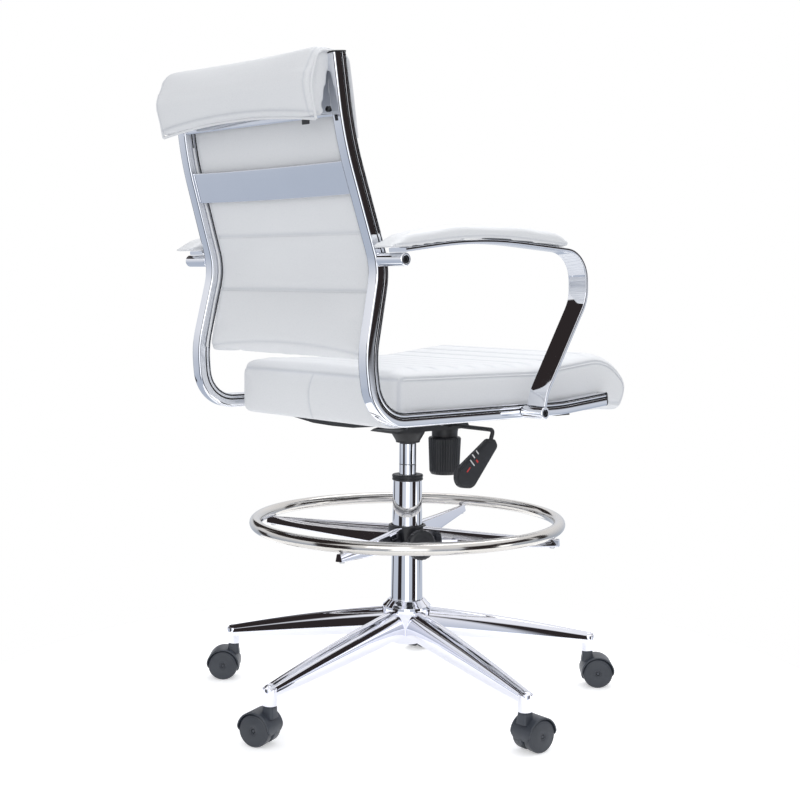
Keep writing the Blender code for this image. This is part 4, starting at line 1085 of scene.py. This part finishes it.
def back_pad():
    """The back: ribs in front, broad sewn panels behind, between the two rails.

    Its section at each height is a superellipse, x = w cos^0.16 and y = t sin^0.42, whose
    thickness t closes in a circle at the two ends; the lower corners hang by 13 mm.
    """
    ribs = np.arange(BACK_BOTTOM + 0.026, BACK_TOP - 0.01, RIB_PITCH)
    seams = np.array(BACK_SEAMS)
    levels = BACK_BOTTOM + (BACK_TOP - BACK_BOTTOM) * (1 - np.cos(np.linspace(0, math.pi, 90))) / 2
    ends = np.clip(np.minimum(levels - BACK_BOTTOM, BACK_TOP - levels) / 0.012, 0, 1)
    shut = np.sqrt(np.clip(1 - (1 - ends) ** 2, 0.03, 1))[:, None]
    turn = np.linspace(0, 2 * math.pi, 140, endpoint=False)
    circle = np.stack([np.cos(turn), np.sin(turn)], -1)
    square = np.sign(circle) * np.abs(circle) ** np.array((0.16, 0.42))
    width, middle = (part[:, None] for part in back_section(levels))
    across = square[None, :, 0] * (width - 0.004 * (1 - shut))
    thick = square[None, :, 1] * 0.0174 * shut
    hang = 0.0130 * np.clip((0.66 - levels) / 0.066, 0, 1)[:, None] * square[None, :, 0] ** 2
    grid = chair(middle + thick, across, levels[:, None] - hang)

    def held(forward, right, up):
        wide, centre = back_section(up)
        front = forward > centre
        rib = front & (np.abs(to_nearest(up, ribs)) < 0.003)
        seam = ~front & (np.abs(to_nearest(up, seams)) < 0.003)
        behind_bar = ~front & (up > 0.800)
        return rib | seam | behind_bar | (np.abs(right) > wide - 0.006)

    mesh = padded_mesh("back_padding", mesh_from("back_form", grid), 0.0048, held, 0.0050)
    forward, right, up = chair_places(mesh)
    wide, centre = back_section(up)
    front = forward > centre + 0.004
    fade = np.clip((wide - 0.006 - np.abs(right)) / 0.020, 0, 1) * front
    away = to_nearest(up, ribs)
    ribbing = dip(away, 0.0042) * fade
    crown = np.sqrt(np.maximum(1 - (2 * away / RIB_PITCH) ** 2, 0)) * fade
    rear = forward < centre - 0.004
    seaming = dip(to_nearest(up, seams), 0.0024) * rear
    hem = BACK_BOTTOM + 0.0095 - 0.0130 * (right / wide) ** 2
    hemming = dip(up - hem, 0.0020) * rear
    edging = dip(np.abs(right) - (wide - 0.0120), 0.0019) * rear
    places = coordinates(mesh)
    places[:, 1] += 0.0052 * ribbing - 0.0022 * crown
    places[:, 1] -= 0.0015 * (seaming + hemming) + 0.0009 * edging
    furthest_back = COLUMN[1] - rail_forward(up) + 0.0022
    places[:, 1] = np.where(up > 0.800, np.minimum(places[:, 1], furthest_back), places[:, 1])
    place_vertices(mesh, places)
    # painted shade: the crease attribute darkens the ribs, seams, hem and edges
    creased(mesh, np.clip(ribbing + 0.75 * seaming + 0.7 * hemming + 0.4 * edging, 0, 1))
    piece = fit("back_padding", mesh, "seat", LEATHER, ("back_pad",), 180)
    span = np.linspace(-0.95, 0.95, 160)
    for number, seam in enumerate(BACK_SEAMS[:2], 1):
        path = chair(rail_forward(seam), span * back_section(seam)[0], seam - 0.0034)
        path = laid_on(path, mesh, 1, 1)
        stitches(f"back_stitches_{number}", path, np.broadcast_to((0.0, 1.0, 0.0), path.shape),
                 "seat", thick=0.00034)
    cord = np.linspace(0.600, 0.905, 120)
    path = chair(rail_forward(cord) + 0.0012, -back_section(cord)[0] + 0.0016, cord - 0.012 * (
        np.clip((0.66 - cord) / 0.066, 0, 1)))
    piping("back_edge_piping", path, (1, 0, 0), "seat", 0.0019)


PILLOW_TOP = float(rail_forward(0.997))
PILLOW_HEM = 0.9190


def pillow_line():
    """The pillow's side outline, a hook over the back's top: rear flap, roof, front flap."""
    top = PILLOW_TOP
    return rounded((
        (top - 0.0230, PILLOW_HEM, 0.004), (top - 0.0180, 1.0000, 0.003),
        (top + 0.0325, 1.0000, 0.003), (top + 0.0500, 0.8930, 0.003),
        (top + 0.0570, 0.8930, 0.003), (top + 0.0480, 0.9700, 0.040),
        (top + 0.0410, 1.0215, 0.014), (top - 0.0300, 1.0215, 0.022),
        (top - 0.0560, 0.9700, 0.045), (top - 0.0400, PILLOW_HEM, 0.006)), closed=True, count=260)


def pillow_ends(forward):
    """The pillow's right and left ends: the rear flap is wider than the rest."""
    share = np.clip((forward - PILLOW_TOP + 0.010) / 0.030, 0, 1)
    return 0.1880 - 0.0150 * share, -0.1960 + 0.0220 * share


def pillow_hem(right):
    """Height of the rear flap's lower edge, arched by 12 mm in the middle."""
    return PILLOW_HEM + 0.0120 * (1 - ((right + 0.004) / 0.192) ** 2)


def head_pillow():
    """The head pillow: a soft hook, its outline carried across and drawn in at both ends."""
    line = pillow_line()
    normals = outward_normals(line)
    right_end, left_end = (end[None] for end in pillow_ends(line[:, 0]))
    middle, half = (right_end + left_end) / 2, (right_end - left_end) / 2
    share = np.sin(np.linspace(-math.pi / 2, math.pi / 2, 90))[:, None]
    draw = 0.0060 * (1 - np.sqrt(np.clip(1 - np.abs(share) ** 14, 0.02, 1)))
    low = np.clip((0.9800 - line[:, 1]) / 0.0600, 0, 1) * (line[:, 0] < PILLOW_TOP - 0.0100)
    high = np.clip((line[:, 1] - 0.9700) / 0.0500, 0, 1)
    forward = line[None, :, 0] - normals[None, :, 0] * draw
    up = line[None, :, 1] - normals[None, :, 1] * draw
    up = up + (0.0120 * low - 0.0060 * high)[None] * (1 - share ** 2)
    grid = chair(forward, middle + half * share, up)

    def held(forward, right, up):
        right_end, left_end = pillow_ends(forward)
        near_end = np.minimum(right_end - right, right - left_end) < 0.007
        hem = (up < pillow_hem(right) + 0.0045) & (forward < PILLOW_TOP)
        lining = PILLOW_TOP + 0.0350 + (1.0 - up) * 0.1636
        inside = (forward > PILLOW_TOP - 0.0190) & (up < 1.0010) & (forward < lining)
        return near_end | hem | inside

    mesh = padded_mesh("head_padding", mesh_from("pillow_form", grid), 0.0042, held, 0.0070)
    forward, right, up = chair_places(mesh)
    behind = forward < PILLOW_TOP - 0.0260
    right_end, left_end = pillow_ends(forward)
    from_end = np.minimum(right_end - right, right - left_end)
    above_hem = up - pillow_hem(right)
    topstitch = (dip(from_end - 0.0085, 0.0018) + dip(above_hem - 0.0085, 0.0018)) * behind
    puckers = np.sin(right * 310 + 2.0 * np.sin(right * 57)) * np.exp(-above_hem / 0.014)
    folds = np.sin(up * 260 + 3.0 * np.sin(up * 90)) * np.exp(-from_end / 0.018)
    places = coordinates(mesh)
    places[:, 1] -= behind * (0.0012 * topstitch + 0.0005 * puckers * (above_hem > 0)
                              + 0.0006 * folds * (from_end > 0.004))
    place_vertices(mesh, places)
    # painted shade: the crease attribute darkens the topstitched lines
    creased(mesh, np.clip(0.8 * topstitch, 0, 1))
    piece = fit("head_padding", mesh, "seat", LEATHER, ("head_pillow",), 180)
    across = np.linspace(-0.1945, 0.1865, 130)
    hem = chair(PILLOW_TOP - 0.0330, across, pillow_hem(across) - 0.0010)
    piping("pillow_hem_piping", hem, (0, 1, 0), "seat")
    stitch = laid_on(hem[5:-5] + (0, 0, 0.0095), mesh, 1, 1)
    stitches("pillow_hem_stitches", stitch, np.broadcast_to((0.0, 1.0, 0.0), stitch.shape), "seat")
    edge = rounded((
        (PILLOW_TOP - 0.0330, 0.9180, 0), (PILLOW_TOP - 0.0430, 0.9650, 0.060),
        (PILLOW_TOP - 0.0300, 1.0120, 0.016), (PILLOW_TOP + 0.0350, 1.0120, 0.012),
        (PILLOW_TOP + 0.0430, 0.9650, 0.050), (PILLOW_TOP + 0.0530, 0.8990, 0)), count=130)
    for number, name in enumerate(("right", "left")):
        path = chair(edge[:, 0], pillow_ends(edge[:, 0])[number], edge[:, 1])
        piping(f"pillow_{name}_piping", path, (1, 0, 0), "seat")
    tab = rounded(((-0.0014, -0.0040, 0.001), (0.0014, -0.0040, 0.001), (0.0014, 0.0050, 0.001),
                   (-0.0014, 0.0050, 0.001)), closed=True, arc_points=5)
    tab = tab + (PILLOW_TOP - 0.0290, 0.9170)
    fit("pillow_clip", mesh_from("pillow_clip", slab(tab, 0.0075, 0.0008, 3, middle=0.1600)),
        "seat", BLACK_PLASTIC)


def arm_pads():
    """The slim arm pads: a crowned strip of foam along the top of each arm."""
    line = rounded(ARM_PAD_CORNERS, closed=True, count=260)
    normals = outward_normals(line)
    half = (ARM_OUTER - ARM_INNER) / 2 + 0.0050

    def held(forward, right, up):
        return up < np.interp(forward, ARM_UNDER[:, 0], ARM_UNDER[:, 1]) + 0.0040

    for name, side in (("right", 1), ("left", -1)):
        centre = side * (ARM_INNER + ARM_OUTER) / 2
        form = slab(line - normals * 0.0008, half - 0.0008, 0.0078, 16, middle=centre)
        mesh = padded_mesh(f"arm_padding_{name}", mesh_from(f"arm_form_{name}", form), 0.0027,
                           held, 0.0022)
        forward, right, up = chair_places(mesh)
        under = np.interp(forward, ARM_UNDER[:, 0], ARM_UNDER[:, 1])
        out = np.abs(right - centre) > half - 0.004
        seam = dip(up - under - 0.0048, 0.0011) * out
        places = coordinates(mesh)
        places[:, 0] += 0.0007 * seam * np.sign(right - centre)
        place_vertices(mesh, places)
        # painted shade: the crease attribute darkens the side seam
        creased(mesh, np.clip(seam, 0, 1))
        piece = fit(f"arm_padding_{name}", mesh, "seat", LEATHER,
                    (f"arm_pad_{name}",), 180)


ARM_UNDER = rounded(ARM_PAD_CORNERS[:4], count=80)


# ---------------------------------------------------------------- studio
def studio_world():
    """A white room. Bright metal also sees lavender air, two light boxes and brown flags."""
    world = bpy.data.worlds.new("studio")
    bpy.context.scene.world = world
    world.use_nodes = True
    recipe = Recipe(world.node_tree)
    shader = world.node_tree.nodes["Background"]
    x, y, z = recipe.split(recipe.node("TexCoord", output="Generated"))

    def patch(azimuth, low, high, wide, soft=6):
        """1 inside a patch of the room towards an azimuth, between two heights; 0 outside."""
        turn = math.radians(azimuth)
        facing = x * math.cos(turn) + y * math.sin(turn)
        across = y * math.cos(turn) - x * math.sin(turn)
        side = (1 - abs(across) / wide) * soft
        level = (1 - abs(z - (low + high) / 2) / ((high - low) / 2)) * soft
        return side.clamped(0, 1) * level.clamped(0, 1) * (facing * 9).clamped(0, 1)

    dark = patch(*DARK_FLAGS[0])
    for flag in DARK_FLAGS[1:]:
        dark = dark.maths("MAXIMUM", patch(*flag))
    bright = patch(*LIGHT_BOXES[0])
    for box in LIGHT_BOXES[1:]:
        bright = bright.maths("MAXIMUM", patch(*box))
    air = recipe.mix((z * 1.5 + 0.45).clamped(0, 1), colour(0.50, 0.55, 0.64),
                     colour(0.98, 0.98, 1.0))
    shown = recipe.mix(bright, air, colour(1.9, 1.9, 1.9))
    shown = recipe.mix(dark, shown, colour(0.030, 0.024, 0.024))
    diffuse = recipe.node("LightPath", {}, {}, "Is Diffuse Ray")
    seen = recipe.node("LightPath", {}, {}, "Is Camera Ray")
    shown = recipe.mix(diffuse, shown, colour(0.71, 0.72, 0.735))
    recipe.feed(shader.inputs["Color"], recipe.mix(seen, shown, colour(1.0, 1.0, 1.0)))
    shader.inputs["Strength"].default_value = 1.0


def soft_light(name, place, target, size, power):
    """A square soft box aimed at a point."""
    data = bpy.data.lights.new(name, "AREA")
    data.size = size
    data.energy = power
    lamp = bpy.data.objects.new(name, data)
    bpy.context.scene.collection.objects.link(lamp)
    lamp.location = place
    lamp.rotation_euler = (Vector(target) - Vector(place)).to_track_quat("-Z", "Y").to_euler()
    return lamp


def studio():
    """A round pale floor that blends into the white room, soft boxes and the camera."""
    studio_world()
    soft_light("top_box", (0.2, -0.6, 2.7), (0, 0, 0.5), 2.4, 30)
    soft_light("rear_box", (-1.8, 2.6, 1.9), (0, 0, 0.6), 1.8, 12)
    turn = np.linspace(0, 2 * math.pi, 128, endpoint=False)
    rim = np.stack([np.cos(turn), np.sin(turn), 0 * turn], -1) * FLOOR_RADIUS
    mesh = bpy.data.meshes.new("floor")
    mesh.from_pydata(rim, [], [tuple(range(len(rim)))])
    floor = bpy.data.objects.new("floor", mesh)
    bpy.context.scene.collection.objects.link(floor)
    paper, recipe, shader = finish_named("pale_floor")
    recipe.feed(shader.inputs["Base Color"], recipe.mix(
        recipe.noise(3.0), colour(0.93, 0.93, 0.935), colour(0.95, 0.95, 0.955)))
    shader.inputs["Roughness"].default_value = 0.6
    shader.inputs["Emission Color"].default_value = colour(1.0, 1.0, 1.0)
    shader.inputs["Emission Strength"].default_value = 0.42
    mesh.materials.append(paper)
    view = bpy.context.scene.view_settings
    view.view_transform = "Standard"
    data = bpy.data.cameras.new("camera")
    data.sensor_width = 36.0
    data.lens = 64.01
    camera = bpy.data.objects.new("camera", data)
    bpy.context.scene.collection.objects.link(camera)
    ahead = Vector((0.7433, -0.6636, -0.0845)).normalized()
    right = ahead.cross(Vector((0, 0, 1))).normalized()
    above = right.cross(ahead)
    roll = 0.0071
    sideways = right * math.cos(roll) + above * math.sin(roll)
    upwards = above * math.cos(roll) - right * math.sin(roll)
    turn = Matrix((sideways, upwards, -ahead)).transposed()
    camera.matrix_world = Matrix.Translation((-1.7307, 1.5535, 0.7002)) @ turn.to_4x4()
    bpy.context.scene.camera = camera


studio()
dress_frame()
side_rails()
rail_ends()
arm_bars()
arm_spacers()
crossbars()
star_base()
column()
foot_ring()
mechanism()
for number in range(1, 6):
    caster(number)
seat_cushion()
back_pad()
head_pillow()
arm_pads()
